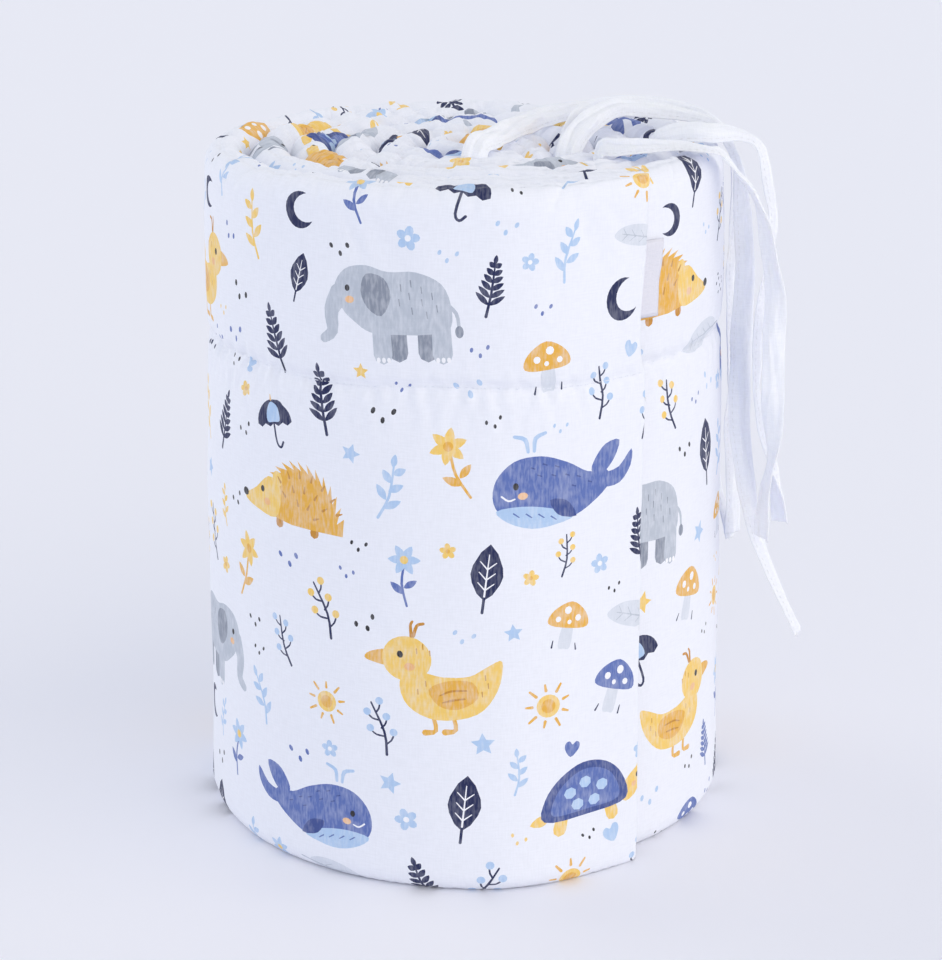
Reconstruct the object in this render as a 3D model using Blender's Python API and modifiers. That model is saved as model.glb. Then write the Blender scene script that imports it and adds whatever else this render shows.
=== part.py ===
"""A crib bumper, rolled up and standing on its long edge.

The pad is one long padded panel. Its first stretch is folded back on itself, the rest is wound round that
fold, and its thin sewn end lies on the turn below. A line of sewing runs along the whole pad. Cotton tape
ties come out of the top edge, lie over the turns and hang down at the right. A bare tape tag is sewn into
the end.

Metres, +Z up. The origin is the middle of the roll on the surface that it stands on.
"""

import math

import bmesh
import bpy
from mathutils import Vector

# The pad and how it is wound
PAD_HEIGHT = 0.300
PAD_THICKNESS = 0.0179
TURN_PITCH = 0.0186
FOLD_RADIUS = 0.00775
FOLD_THICKNESS = 0.0135
STUB_START = -0.0105
STUB_END = 0.002
STUB_STATIONS = (STUB_START, -0.0099, -0.0085, -0.0065, -0.0035, STUB_END)
FIRST_ANGLE = 180.0
FULL_THICKNESS_ANGLE = 400.0
LAST_ANGLE = 2107.0
BASE_SPREAD = 0.039

# Angular steps of the stations, in degrees, finer on the outer turns
FOLD_STEP = 30.0
CORE_STEP = 15.0
OUTER_STEP = 10.0
CORE_TURNS = 2
LAST_STATIONS = (3.6, 1.6, 0.5, 0.0)

# Its two short ends
STUB_ROUNDING = 0.006
STUB_TIP_SHARE = 0.3
END_TAPER = 0.070
END_THICKNESS = 0.0088
END_ROUNDING = 0.005
END_LIP = 0.0034

# Its edges, walls and sewn line. The levels are the heights of the section's points up each face.
FOOT_WIDTH = 0.0056
FOOT_MOST_SHARE = 0.4
FOOT_ROUNDING = 0.009
FOOT_ANGLES = (38.0, 66.0)
TOP_ROUNDING = 0.011
TOP_ANGLES = (30.0, 62.0, 90.0, 118.0, 150.0)
TOP_UNEVENNESS = 0.0016
TOP_WAVE = 0.047
SEAM_HEIGHT = 0.219
SEAM_DEPTH = 0.0021
SEAM_HALF_WIDTH = 0.0042
SEAM_PULL = 0.0004
SEAM_PULL_HALF_WIDTH = 0.016
SEAM_PUCKER = 0.35
INNER_SEAM_SHARE = 0.6
MOST_DENT_SHARE = 0.6
OUTER_LEVELS = (0.009, 0.065, 0.125, 0.180, 0.211, 0.216, 0.219, 0.222, 0.228, 0.260, 0.289)
INNER_LEVELS = (0.289, 0.265, 0.229, 0.219, 0.209, 0.150, 0.080, 0.009)

# Pleats near the top edge, in the face that is shorter when the pad is wound
PLEAT_SPACING = 0.032
PLEAT_DEPTH = 0.0021
PLEAT_HEIGHT = 0.262
PLEAT_REACH = 0.028
PLEAT_FADE_IN = 180.0

# Tape ties. Each row is a point on the tape's middle line, in metres, and the way its width points there, as
# a bearing from +X towards +Y and a rise above level, in degrees.
TAPE_WIDTH = 0.011
TAPE_THICKNESS = 0.0010
TAPE_CREASE = 0.0007
TAPE_STEP = 0.0052
TIES = {
    "tie_1a": (
        # x, y, z, bearing, rise
        (0.0395, -0.0250, 0.2984, 165, 40),
        (0.0425, -0.0120, 0.3046, 160, 42),
        (0.0465, 0.0020, 0.3078, 145, 46),
        (0.0540, 0.0140, 0.3093, 126, 42),
        (0.0650, 0.0230, 0.3101, 108, 40),
        (0.0780, 0.0270, 0.3098, 94, 36),
        (0.0900, 0.0260, 0.3083, 86, 28),
        (0.1010, 0.0220, 0.3052, 80, 18),
        (0.1095, 0.0180, 0.2990, 78, 8),
        (0.1131, 0.0178, 0.2908, 74, 0),
        (0.1147, 0.0180, 0.2774, 70, 0),
        (0.1148, 0.0185, 0.2615, 70, 0),
        (0.1148, 0.0192, 0.2432, 68, 0),
        (0.1147, 0.0198, 0.2247, 66, 0),
        (0.1147, 0.0202, 0.2083, 74, 0),
        (0.1149, 0.0202, 0.1952, 84, 0),
        (0.1156, 0.0198, 0.1803, 78, 0),
        (0.1165, 0.0190, 0.1639, 62, 0),
        (0.1179, 0.0182, 0.1473, 50, 0),
        (0.1187, 0.0168, 0.1299, 46, 0),
        (0.1187, 0.0158, 0.1132, 47, 0),
    ),
    "tie_1b": (
        (0.0402, -0.0333, 0.3017, 150, 40),
        (0.0458, -0.0190, 0.3068, 148, 42),
        (0.0517, -0.0030, 0.3085, 138, 44),
        (0.0608, 0.0085, 0.3108, 118, 40),
        (0.0722, 0.0135, 0.3097, 102, 34),
        (0.0826, 0.0140, 0.3083, 92, 28),
        (0.0923, 0.0124, 0.3070, 84, 22),
        (0.1005, 0.0092, 0.3052, 80, 14),
        (0.1065, 0.0040, 0.3012, 78, 6),
        (0.1112, -0.0005, 0.2940, 70, 0),
        (0.1143, -0.0032, 0.2853, 58, 0),
        (0.1159, -0.0052, 0.2707, 36, 0),
        (0.1173, -0.0062, 0.2576, 27, 0),
        (0.1181, -0.0070, 0.2444, 24, 0),
        (0.1181, -0.0076, 0.2324, 22, 0),
        (0.1176, -0.0082, 0.2199, 22, 0),
        (0.1174, -0.0090, 0.2056, 20, 0),
        (0.1173, -0.0100, 0.1907, 17, 0),
        (0.1175, -0.0120, 0.1740, 20, 0),
        (0.1200, -0.0145, 0.1520, 32, 0),
        (0.1239, -0.0180, 0.1300, 50, 0),
        (0.1295, -0.0205, 0.1136, 64, 0),
        (0.1366, -0.0225, 0.0976, 71, 0),
        (0.1451, -0.0245, 0.0791, 72, 0),
    ),
    "tie_2a": (
        (0.0522, -0.0492, 0.3028, 92, 36),
        (0.0581, -0.0500, 0.3035, 92, 32),
        (0.0656, -0.0492, 0.3039, 92, 27),
        (0.0746, -0.0462, 0.3039, 91, 21),
        (0.0839, -0.0444, 0.3036, 90, 15),
        (0.0927, -0.0443, 0.3027, 88, 5),
        (0.1000, -0.0435, 0.3013, 84, 2),
        (0.1041, -0.0412, 0.2988, 81, 4),
        (0.1099, -0.0382, 0.2916, 86, 0),
        (0.1154, -0.0362, 0.2844, 93, 0),
        (0.1193, -0.0354, 0.2766, 103, 0),
        (0.1222, -0.0348, 0.2692, 116, 0),
        (0.1245, -0.0342, 0.2600, 122, 0),
        (0.1264, -0.0337, 0.2507, 125, 0),
        (0.1280, -0.0333, 0.2415, 131, 0),
        (0.1288, -0.0330, 0.2326, 150, 0),
        (0.1288, -0.0327, 0.2215, 176, 0),
        (0.1290, -0.0324, 0.2089, 184, 0),
        (0.1292, -0.0321, 0.1968, 177, 0),
        (0.1295, -0.0318, 0.1863, 158, 0),
        (0.1299, -0.0315, 0.1762, 130, 0),
        (0.1300, -0.0311, 0.1670, 106, 0),
        (0.1292, -0.0306, 0.1586, 98, 0),
        (0.1279, -0.0301, 0.1501, 104, 0),
        (0.1273, -0.0296, 0.1411, 110, 0),
        (0.1269, -0.0292, 0.1326, 114, 0),
        (0.1266, -0.0289, 0.1255, 116, 0),
    ),
    "tie_2b": (
        (0.0776, -0.0222, 0.3014, 104, 36),
        (0.0804, -0.0228, 0.3034, 102, 38),
        (0.0847, -0.0226, 0.3049, 100, 42),
        (0.0898, -0.0230, 0.3056, 98, 44),
        (0.0948, -0.0230, 0.3057, 95, 45),
        (0.0997, -0.0217, 0.3050, 92, 42),
        (0.1046, -0.0187, 0.3046, 90, 34),
        (0.1102, -0.0150, 0.3036, 88, 20),
        (0.1167, -0.0122, 0.3009, 86, 8),
        (0.1209, -0.0124, 0.2973, 76, 0),
        (0.1234, -0.0128, 0.2918, 64, 0),
        (0.1251, -0.0132, 0.2849, 66, 0),
        (0.1265, -0.0138, 0.2776, 72, 0),
        (0.1273, -0.0146, 0.2695, 77, 0),
        (0.1273, -0.0154, 0.2595, 80, 0),
        (0.1261, -0.0160, 0.2499, 79, 0),
        (0.1246, -0.0164, 0.2412, 76, 0),
        (0.1238, -0.0167, 0.2319, 70, 0),
        (0.1230, -0.0168, 0.2220, 70, 0),
        (0.1226, -0.0169, 0.2121, 77, 0),
        (0.1227, -0.0170, 0.2018, 80, 0),
        (0.1232, -0.0171, 0.1913, 74, 0),
        (0.1249, -0.0173, 0.1822, 64, 0),
        (0.1272, -0.0176, 0.1735, 56, 0),
        (0.1296, -0.0179, 0.1649, 64, 0),
        (0.1313, -0.0183, 0.1566, 80, 0),
        (0.1329, -0.0187, 0.1484, 100, 0),
        (0.1345, -0.0191, 0.1401, 118, 0),
        (0.1362, -0.0195, 0.1298, 130, 0),
    ),
    "tie_3": (
        (0.0010, -0.0480, 0.3044, 163, 40),
        (0.0070, -0.0320, 0.3045, 160, 40),
        (0.0140, -0.0140, 0.3046, 158, 40),
        (0.0220, 0.0060, 0.3046, 155, 42),
        (0.0310, 0.0250, 0.3046, 150, 42),
        (0.0430, 0.0420, 0.3044, 140, 40),
        (0.0570, 0.0560, 0.3040, 135, 34),
        (0.0710, 0.0655, 0.3028, 130, 22),
        (0.0830, 0.0710, 0.3000, 130, 10),
        (0.0915, 0.0740, 0.2935, 130, 0),
        (0.0965, 0.0755, 0.2830, 130, 0),
        (0.0985, 0.0750, 0.2650, 128, 0),
        (0.0995, 0.0735, 0.2420, 124, 0),
        (0.1005, 0.0700, 0.2180, 120, 0),
        (0.1020, 0.0640, 0.1950, 116, 0),
        (0.1045, 0.0560, 0.1730, 108, 0),
        (0.1084, 0.0460, 0.1520, 98, 0),
        (0.1127, 0.0365, 0.1310, 86, 0),
        (0.1158, 0.0305, 0.1191, 74, 0),
        (0.1188, 0.0260, 0.1068, 66, 0),
    ),
}

# The bare tag in the outer end's seam. It starts that many degrees past the end, on the turn below.
TAG_HEIGHT = 0.032
TAG_LENGTH = 0.0121
TAG_THICKNESS = 0.0009
TAG_BOTTOM = 0.2389
TAG_START = 1.2
TAG_LIFT = 0.0009
TAG_COLUMNS = 5


def ease(share):
    """0 to 1 with a soft start and a soft stop, for a share of a stretch."""
    share = min(max(share, 0.0), 1.0)
    return share * share * (3.0 - 2.0 * share)


def turn_radius(angle):
    """The radius of the pad's middle line at an angle along the winding, in degrees."""
    return 2.0 * FOLD_RADIUS + TURN_PITCH * (angle - FIRST_ANGLE) / 360.0


def on_turn(angle, radius=None):
    radius = turn_radius(angle) if radius is None else radius
    turned = math.radians(angle)
    return Vector((radius * math.cos(turned), radius * math.sin(turned)))


def middle_line():
    """The pad's middle line from above, as (point, angle) pairs: the stub, the fold and the turns."""
    stub = [(Vector((0.0, y)), 0.0) for y in STUB_STATIONS]
    fold = []
    for step in range(1, int(180.0 / FOLD_STEP) + 1):
        turned = math.radians(step * FOLD_STEP)
        across = FOLD_RADIUS * (math.cos(turned) - 1.0)
        fold.append((Vector((across, STUB_END + FOLD_RADIUS * math.sin(turned))), 0.0))
    angles = []
    angle = FIRST_ANGLE + CORE_STEP
    while angle < LAST_ANGLE - LAST_STATIONS[0]:
        angles.append(angle)
        angle += CORE_STEP if angle < FIRST_ANGLE + 360.0 * CORE_TURNS else OUTER_STEP
    angles += [LAST_ANGLE - before for before in LAST_STATIONS]
    return stub + fold + [(on_turn(angle), angle) for angle in angles]


def half_thicknesses(angle, from_start, to_end):
    """How far the inner and the outer face are from the middle line at a station."""
    full = ease((angle - FIRST_ANGLE) / (FULL_THICKNESS_ANGLE - FIRST_ANGLE))
    half = (FOLD_THICKNESS + (PAD_THICKNESS - FOLD_THICKNESS) * full) / 2.0
    if from_start < STUB_ROUNDING:
        share = 1.0 - from_start / STUB_ROUNDING
        half *= max(STUB_TIP_SHARE, math.sqrt(1.0 - share * share))
    inner, outer = half, half
    # The outer end thins on its outer side, so that it lies on the turn below.
    outer -= (PAD_THICKNESS - END_THICKNESS) * ease(1.0 - to_end / END_TAPER)
    if to_end < END_ROUNDING:
        share = 1.0 - to_end / END_ROUNDING
        shrink = (END_THICKNESS - END_LIP) / 2.0 * (1.0 - math.sqrt(1.0 - share * share))
        inner -= shrink
        outer -= shrink
    return inner, outer


def drawn_in(height, pucker):
    """How far the sewn line draws a face in at a height."""
    away = height - SEAM_HEIGHT
    sewn = SEAM_DEPTH * pucker * math.exp(-((away / SEAM_HALF_WIDTH) ** 2))
    return sewn + SEAM_PULL * math.exp(-((away / SEAM_PULL_HALF_WIDTH) ** 2))


def section(inner, outer, along, pleated):
    """The pad's cross-section at a station, as (distance outwards from the middle line, height) points."""
    middle, half = (outer - inner) / 2.0, (outer + inner) / 2.0
    foot = min(FOOT_WIDTH / 2.0, FOOT_MOST_SHARE * half)
    crest = PAD_HEIGHT - TOP_UNEVENNESS * (0.5 - 0.5 * math.sin(along / TOP_WAVE * 2.0 * math.pi))
    pucker = 1.0 - SEAM_PUCKER * (0.5 + 0.5 * math.sin(along / PLEAT_SPACING * 2.0 * math.pi))
    pleat = pleated * PLEAT_DEPTH * (0.5 - 0.5 * math.cos(along / PLEAT_SPACING * 2.0 * math.pi))

    def foot_corner(side, turned):
        reach = foot + (half - foot) * math.sin(turned)
        return (middle + side * reach, FOOT_ROUNDING * (1.0 - math.cos(turned)))

    points = [(middle - foot, 0.0), (middle + foot, 0.0)]
    points += [foot_corner(1.0, math.radians(turned)) for turned in FOOT_ANGLES]
    for height in OUTER_LEVELS:
        points.append((middle + half - min(drawn_in(height, pucker), MOST_DENT_SHARE * half), height))
    for turned in TOP_ANGLES:
        level = math.radians(turned)
        rise = (crest - PAD_HEIGHT + TOP_ROUNDING) * math.sin(level)
        points.append((middle + half * math.cos(level), PAD_HEIGHT - TOP_ROUNDING + rise))
    for height in INNER_LEVELS:
        dent = pleat * math.exp(-(((height - PLEAT_HEIGHT) / PLEAT_REACH) ** 2))
        inset = min(INNER_SEAM_SHARE * drawn_in(height, pucker) + dent, MOST_DENT_SHARE * half)
        points.append((middle - half + inset, height))
    points += [foot_corner(-1.0, math.radians(turned)) for turned in reversed(FOOT_ANGLES)]
    return points


def spread(point, height):
    """The roll is a little wider at its base than at its top."""
    return point * (1.0 + BASE_SPREAD * (1.0 - height / PAD_HEIGHT))


def wound_form():
    """The pad's surface points: a ring of section points for each station of the middle line."""
    line = middle_line()
    points = [point for point, _ in line]
    along = [0.0]
    for before, after in zip(points, points[1:]):
        along.append(along[-1] + (after - before).length)
    rings = []
    for index, (point, angle) in enumerate(line):
        ahead = points[min(index + 1, len(points) - 1)] - points[max(index - 1, 0)]
        outwards = Vector((ahead.y, -ahead.x)).normalized()
        to_end = along[-1] - along[index]
        inner, outer = half_thicknesses(angle, along[index], to_end)
        pleated = ease((angle - FULL_THICKNESS_ANGLE) / PLEAT_FADE_IN) * ease(to_end / END_TAPER)
        ring = []
        for distance, height in section(inner, outer, along[index], pleated):
            place = spread(point + outwards * distance, height)
            ring.append(Vector((place.x, place.y, height)))
        rings.append(ring)
    return rings


def lofted(rings, closed):
    """A mesh grid bent so that each of its rows is one ring."""
    mesh = bmesh.new()
    rows, columns = len(rings), len(rings[0]) + (1 if closed else 0)
    bmesh.ops.create_grid(mesh, x_segments=rows - 1, y_segments=columns - 1, size=1.0)
    for vertex in mesh.verts:
        row = round((vertex.co.x + 1.0) / 2.0 * (rows - 1))
        column = round((vertex.co.y + 1.0) / 2.0 * (columns - 1))
        vertex.co = rings[row][column % len(rings[0])]
    if closed:
        bmesh.ops.remove_doubles(mesh, verts=mesh.verts, dist=1e-6)
        bmesh.ops.holes_fill(mesh, edges=[edge for edge in mesh.edges if edge.is_boundary], sides=0)
    bmesh.ops.recalc_face_normals(mesh, faces=mesh.faces)
    return mesh


def place_object(name, mesh, collection, material, thickness=None):
    """A named object from a mesh, smooth, with a wall thickness where it is tape."""
    data = bpy.data.meshes.new(name)
    mesh.to_mesh(data)
    mesh.free()
    data.materials.append(material)
    data.shade_smooth()
    piece = bpy.data.objects.new(name, data)
    collection.objects.link(piece)
    if thickness is not None:
        wall = piece.modifiers.new("thickness", "SOLIDIFY")
        wall.thickness = thickness
        wall.offset = 0.0
    return piece


def finish(name, colour, roughness):
    material = bpy.data.materials.new(name)
    material.use_nodes = True
    shader = material.node_tree.nodes["Principled BSDF"]
    shader.inputs["Base Color"].default_value = (*colour, 1.0)
    shader.inputs["Roughness"].default_value = roughness
    shader.inputs["Metallic"].default_value = 0.0
    return material


def smooth_route(rows):
    """Points evenly along a smooth curve through the rows, each with its width direction."""
    stops = [Vector(row[:3]) for row in rows]
    widths = []
    for row in rows:
        bearing, rise = math.radians(row[3]), math.radians(row[4])
        level = math.cos(rise)
        widths.append(Vector((level * math.cos(bearing), level * math.sin(bearing), math.sin(rise))))

    def between(values, index, share):
        """Catmull-Rom between two neighbouring stops."""
        before, start = values[max(index - 1, 0)], values[index]
        stop, after = values[index + 1], values[min(index + 2, len(values) - 1)]
        bend = 2.0 * before - 5.0 * start + 4.0 * stop - after
        twist = 3.0 * start - before - 3.0 * stop + after
        return start + share * ((stop - before) + share * (bend + share * twist)) / 2.0

    route = []
    for index in range(len(stops) - 1):
        pieces = max(2, round((stops[index + 1] - stops[index]).length / TAPE_STEP))
        for piece in range(pieces):
            share = piece / pieces
            route.append((between(stops, index, share), between(widths, index, share)))
    return route + [(stops[-1], widths[-1])]


def tape(rows):
    """A flat tape along a route, with a soft crease down its middle."""
    route = smooth_route(rows)
    rings = []
    for index, (point, width) in enumerate(route):
        ahead = route[min(index + 1, len(route) - 1)][0] - route[max(index - 1, 0)][0]
        ahead.normalize()
        across = (width - width.dot(ahead) * ahead).normalized()
        face = ahead.cross(across)
        half = TAPE_WIDTH / 2.0
        rings.append([point - half * across, point + TAPE_CREASE * face, point + half * across])
    return lofted(rings, closed=False)


def tag():
    """The tag's cloth, standing on the turn below the pad's outer end."""
    rings = []
    for column in range(TAG_COLUMNS):
        share = column / (TAG_COLUMNS - 1)
        # The winding goes on from the outer end's angle, one turn down.
        radius = turn_radius(LAST_ANGLE - 360.0) + PAD_THICKNESS / 2.0 + TAG_LIFT
        angle = LAST_ANGLE + TAG_START + math.degrees(share * TAG_LENGTH / radius)
        ring = []
        for height in (TAG_BOTTOM, TAG_BOTTOM + TAG_HEIGHT / 2.0, TAG_BOTTOM + TAG_HEIGHT):
            lifted = radius + TURN_PITCH * (angle - LAST_ANGLE) / 360.0
            place = spread(on_turn(angle, lifted), height)
            ring.append(Vector((place.x, place.y, height)))
        rings.append(ring)
    return lofted(rings, closed=False)


for old in list(bpy.data.objects):
    bpy.data.objects.remove(old, do_unlink=True)
parts = bpy.data.collections.new("crib_bumper")
bpy.context.scene.collection.children.link(parts)

cotton = finish("printed_cotton", (0.86, 0.87, 0.92), 0.85)
place_object("bumper_roll", lofted(wound_form(), closed=True), parts, cotton)

tape_cotton = finish("tape_cotton", (0.90, 0.90, 0.93), 0.8)
for name, rows in TIES.items():
    place_object(name, tape(rows), parts, tape_cotton, TAPE_THICKNESS)

tag_cotton = finish("tag_cotton", (0.84, 0.82, 0.78), 0.8)
place_object("label_tag", tag(), parts, tag_cotton, TAG_THICKNESS)
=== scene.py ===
import math
import random

import bpy
import numpy as np
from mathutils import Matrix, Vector
from mathutils.geometry import delaunay_2d_cdt


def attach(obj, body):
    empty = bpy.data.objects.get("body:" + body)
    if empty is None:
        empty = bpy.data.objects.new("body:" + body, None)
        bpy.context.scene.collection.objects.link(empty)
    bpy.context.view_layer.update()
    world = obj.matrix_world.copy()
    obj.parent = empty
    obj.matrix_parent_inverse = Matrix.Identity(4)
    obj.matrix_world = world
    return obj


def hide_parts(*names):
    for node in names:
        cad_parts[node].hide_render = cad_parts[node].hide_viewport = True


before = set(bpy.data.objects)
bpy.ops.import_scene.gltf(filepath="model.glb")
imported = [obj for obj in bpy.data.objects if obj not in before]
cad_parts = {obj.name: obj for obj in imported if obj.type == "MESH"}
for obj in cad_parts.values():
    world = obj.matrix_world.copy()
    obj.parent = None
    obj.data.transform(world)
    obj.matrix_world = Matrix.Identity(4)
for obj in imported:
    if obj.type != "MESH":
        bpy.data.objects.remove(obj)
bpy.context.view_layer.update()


# --- The view -------------------------------------------------------------------------------------------
# The roll is seen from a little above its top edge, from about a metre away, through a long lens.
# The lens is given for the image's long side, which is upright.
VIEW_DISTANCE = 1.0643
VIEW_HEIGHT = 0.4779
VIEW_DOWN = 17.447


def put(name, data):
    """A new object in the scene, at the origin."""
    made = bpy.data.objects.new(name, data)
    bpy.context.scene.collection.objects.link(made)
    return made


camera_data = bpy.data.cameras.new("view")
camera_data.lens = 92.27
camera_data.sensor_width = 36.0
camera_data.shift_x = -0.0049
camera_data.clip_start = 0.05
camera = put("view", camera_data)
camera.location = (0.0, -VIEW_DISTANCE, VIEW_HEIGHT)
camera.rotation_euler = (math.radians(90.0 - VIEW_DOWN), 0.0, 0.0)
bpy.context.scene.camera = camera


# --- The floor and the light ----------------------------------------------------------------------------
# A plain pale floor that runs past the view on all sides, in a white studio. A very wide soft light comes
# from the right, towards the camera, and a weaker one from behind at the left, so the wall of the roll is a
# little darker left of its middle.
class Wire:
    """A socket in a node tree. Sums on wires add Math nodes, and node() adds any other node."""

    def __init__(self, tree, socket=None):
        self.tree = tree
        self.socket = socket

    def node(self, kind, settings=None, inputs=None, output=0):
        made = self.tree.nodes.new(kind)
        for name, value in (settings or {}).items():
            setattr(made, name, value)
        for name, value in (inputs or {}).items():
            if isinstance(value, Wire):
                self.tree.links.new(value.socket, made.inputs[name])
            else:
                made.inputs[name].default_value = value
        return Wire(self.tree, made.outputs[output])

    def __add__(self, other):
        return self.node("ShaderNodeMath", {"operation": "ADD"}, {0: self, 1: other})

    def __mul__(self, other):
        return self.node("ShaderNodeMath", {"operation": "MULTIPLY"}, {0: self, 1: other})

    __radd__ = __add__
    __rmul__ = __mul__


def feed(shader, **wires):
    """Links wires to the sockets of a shader node."""
    for socket, wire in wires.items():
        wire.tree.links.new(wire.socket, shader.inputs[socket.replace("_", " ")])


def new_material(name, roughness, **steady):
    """A material, the wire to build on, and its shader node. steady sets what is the same all over."""
    material = bpy.data.materials.new(name)
    material.use_nodes = True
    shader = material.node_tree.nodes["Principled BSDF"]
    shader.inputs["Roughness"].default_value = roughness
    for socket, value in steady.items():
        shader.inputs[socket.replace("_", " ")].default_value = value
    return material, Wire(material.node_tree), shader


FLOOR_SIZE = 16.0
half_floor = FLOOR_SIZE / 2.0
floor_corners = [(x * half_floor, y * half_floor, 0.0) for x, y in ((-1, -1), (1, -1), (1, 1), (-1, 1))]
floor_data = bpy.data.meshes.new("floor")
floor_data.from_pydata(floor_corners, [], [(0, 1, 2, 3)])
floor_paint = new_material("pale_floor", 0.7, Base_Color=(0.885, 0.89, 0.955, 1.0), Specular_IOR_Level=0.1)[0]
floor_data.materials.append(floor_paint)
floor = put("floor", floor_data)

# The studio's walls are brighter than its ceiling.
WALLS_STRENGTH = 1.22
CEILING_STRENGTH = 0.60
world = bpy.data.worlds.new("studio")
world.use_nodes = True
sky = world.node_tree.nodes["Background"]
sky.inputs["Color"].default_value = (0.87, 0.912, 1.0, 1.0)
wire = Wire(world.node_tree)
heading = wire.node("ShaderNodeTexCoord", output="Generated")
height = wire.node("ShaderNodeSeparateXYZ", {}, {0: heading}, output="Z")
glow = wire.node("ShaderNodeMapRange", {},
                 {"Value": height, "To Min": WALLS_STRENGTH, "To Max": CEILING_STRENGTH})
feed(sky, Strength=glow)
bpy.context.scene.world = world
bpy.context.scene.view_settings.view_transform = "Standard"

LAMPS = (
    # name, the way its light comes from, strength, angle it fills, colour
    ("key", (0.80, -0.60, 0.62), 0.90, 75.0, (1.0, 0.88, 0.68)),
    ("back", (-0.87, 0.50, 0.35), 0.50, 35.0, (1.0, 0.93, 0.80)),
)
for name, source, strength, angle, colour in LAMPS:
    lamp_data = bpy.data.lights.new(name, "SUN")
    lamp_data.energy = strength
    lamp_data.angle = math.radians(angle)
    lamp_data.color = colour
    lamp = put(name, lamp_data)
    lamp.rotation_euler = Vector(source).to_track_quat("Z", "Y").to_euler()


# --- The pad --------------------------------------------------------------------------------------------
# One long panel of printed cotton over a soft filling, 30 cm high, wound up and standing on its long edge.
# Its first stretch is folded back on itself in the core, and its thin sewn end lies on the turn below, at
# the right of the front. A line of sewing runs along it all, and the winding pleats the cloth at the top.
PAD_HEIGHT = 0.300
PAD_THICKNESS = 0.0179
TURN_PITCH = 0.0186
FOLD_RADIUS = 0.00775
FOLD_THICKNESS = 0.0135
STUB_START = -0.0105
STUB_END = 0.002
STUB_ROUNDING = 0.006
STUB_TIP_SHARE = 0.16
FIRST_ANGLE = 180.0
FULL_THICKNESS_ANGLE = 400.0
LAST_ANGLE = 2107.0
BASE_SPREAD = 0.039
END_TAPER = 0.070
END_THICKNESS = 0.0088
END_ROUNDING = 0.006
END_LIP = 0.0018
FOOT_SHARE = 0.313
FOOT_ROUNDING = 0.009
TOP_ROUNDING = 0.011
# How closely the middle line and the outline across are stepped
STUB_STEP = 0.0005
FOLD_ANGLE_STEP = 3.0
TURN_ANGLE_STEP = 1.0
ROUNDING_STEPS = 16
WALL_STEPS = 40


def ease(share):
    """0 to 1 with a soft start and a soft stop."""
    share = np.clip(share, 0.0, 1.0)
    return share * share * (3.0 - 2.0 * share)


def bell(away, reach):
    """1 in the middle, falling to both sides."""
    return np.exp(-((away / reach) ** 2))


def rounded_end(distance, rounding):
    """How thick a round end is, as a share, by the distance from its tip."""
    tip = 1.0 - np.clip(distance / rounding, 0.0, 1.0)
    return np.sqrt(1.0 - tip * tip)


def distances(points):
    """How far each point of a line lies along it."""
    return np.concatenate([[0.0], np.cumsum(np.linalg.norm(np.diff(points, axis=0), axis=1))])


def outward(points):
    """The way square to a flat line at each of its points, to its right."""
    way = np.gradient(points, axis=0)
    way /= np.linalg.norm(way, axis=1)[:, None]
    return np.stack([way[:, 1], -way[:, 0]], axis=1)


def turn_radius(angle):
    """How far the pad's middle line is from the roll's middle where the winding has turned by an angle."""
    return 2.0 * FOLD_RADIUS + TURN_PITCH * (angle - FIRST_ANGLE) / 360.0


def winding():
    """The pad's middle line from above, closely stepped: points, and the angle wound so far at each."""
    points = [(0.0, y, 0.0) for y in np.arange(STUB_START, STUB_END - 1e-9, STUB_STEP)]
    for bend in np.radians(np.arange(0.0, FIRST_ANGLE, FOLD_ANGLE_STEP)):
        points.append((FOLD_RADIUS * (math.cos(bend) - 1.0), STUB_END + FOLD_RADIUS * math.sin(bend), 0.0))
    for angle in np.arange(FIRST_ANGLE, LAST_ANGLE + 1e-9, TURN_ANGLE_STEP):
        bend = math.radians(angle)
        points.append((turn_radius(angle) * math.cos(bend), turn_radius(angle) * math.sin(bend), angle))
    points = np.array(points)
    return points[:, :2], points[:, 2]


line, line_angle = winding()
line_along = distances(line)
line_out = outward(line)

# How far the two faces are from the middle line, at each point of it
to_end = line_along[-1] - line_along
full = ease((line_angle - FIRST_ANGLE) / (FULL_THICKNESS_ANGLE - FIRST_ANGLE))
half = (FOLD_THICKNESS + (PAD_THICKNESS - FOLD_THICKNESS) * full) / 2.0
half = half * np.maximum(STUB_TIP_SHARE, rounded_end(line_along, STUB_ROUNDING))
shrink = (END_THICKNESS - END_LIP) / 2.0 * (1.0 - rounded_end(to_end, END_ROUNDING))
face_in = half - shrink
face_out = half - (PAD_THICKNESS - END_THICKNESS) * ease(1.0 - to_end / END_TAPER) - shrink

# The cloth's own length, measured on the outer face, so that its print isn't stretched there
cloth_along = distances(line + line_out * (PAD_THICKNESS / 2.0))
CLOTH_LENGTH = cloth_along[-1]
# The first point past the fold in the core
first_wound = int(np.argmax(line_angle >= FIRST_ANGLE))


def section():
    """The pad's outline across: how far round, share of the half thickness with height, and outward way."""
    bends = np.radians(np.linspace(0.0, 90.0, ROUNDING_STEPS))
    top_middle = PAD_HEIGHT - TOP_ROUNDING
    foot = [(0.0, 0.0)]
    foot += [(FOOT_SHARE + (1.0 - FOOT_SHARE) * math.sin(bend), FOOT_ROUNDING * (1.0 - math.cos(bend)))
             for bend in bends]
    wall = [(1.0, height) for height in np.linspace(FOOT_ROUNDING, top_middle, WALL_STEPS)[1:]]
    top = [(math.cos(bend), top_middle + TOP_ROUNDING * math.sin(bend)) for bend in bends[1:]]
    side = np.array(foot + wall + top)
    outline = np.concatenate([side, side[-2::-1] * (-1.0, 1.0)])
    flat = outline * (PAD_THICKNESS / 2.0, 1.0)
    return distances(flat), outline, outward(flat)


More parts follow.
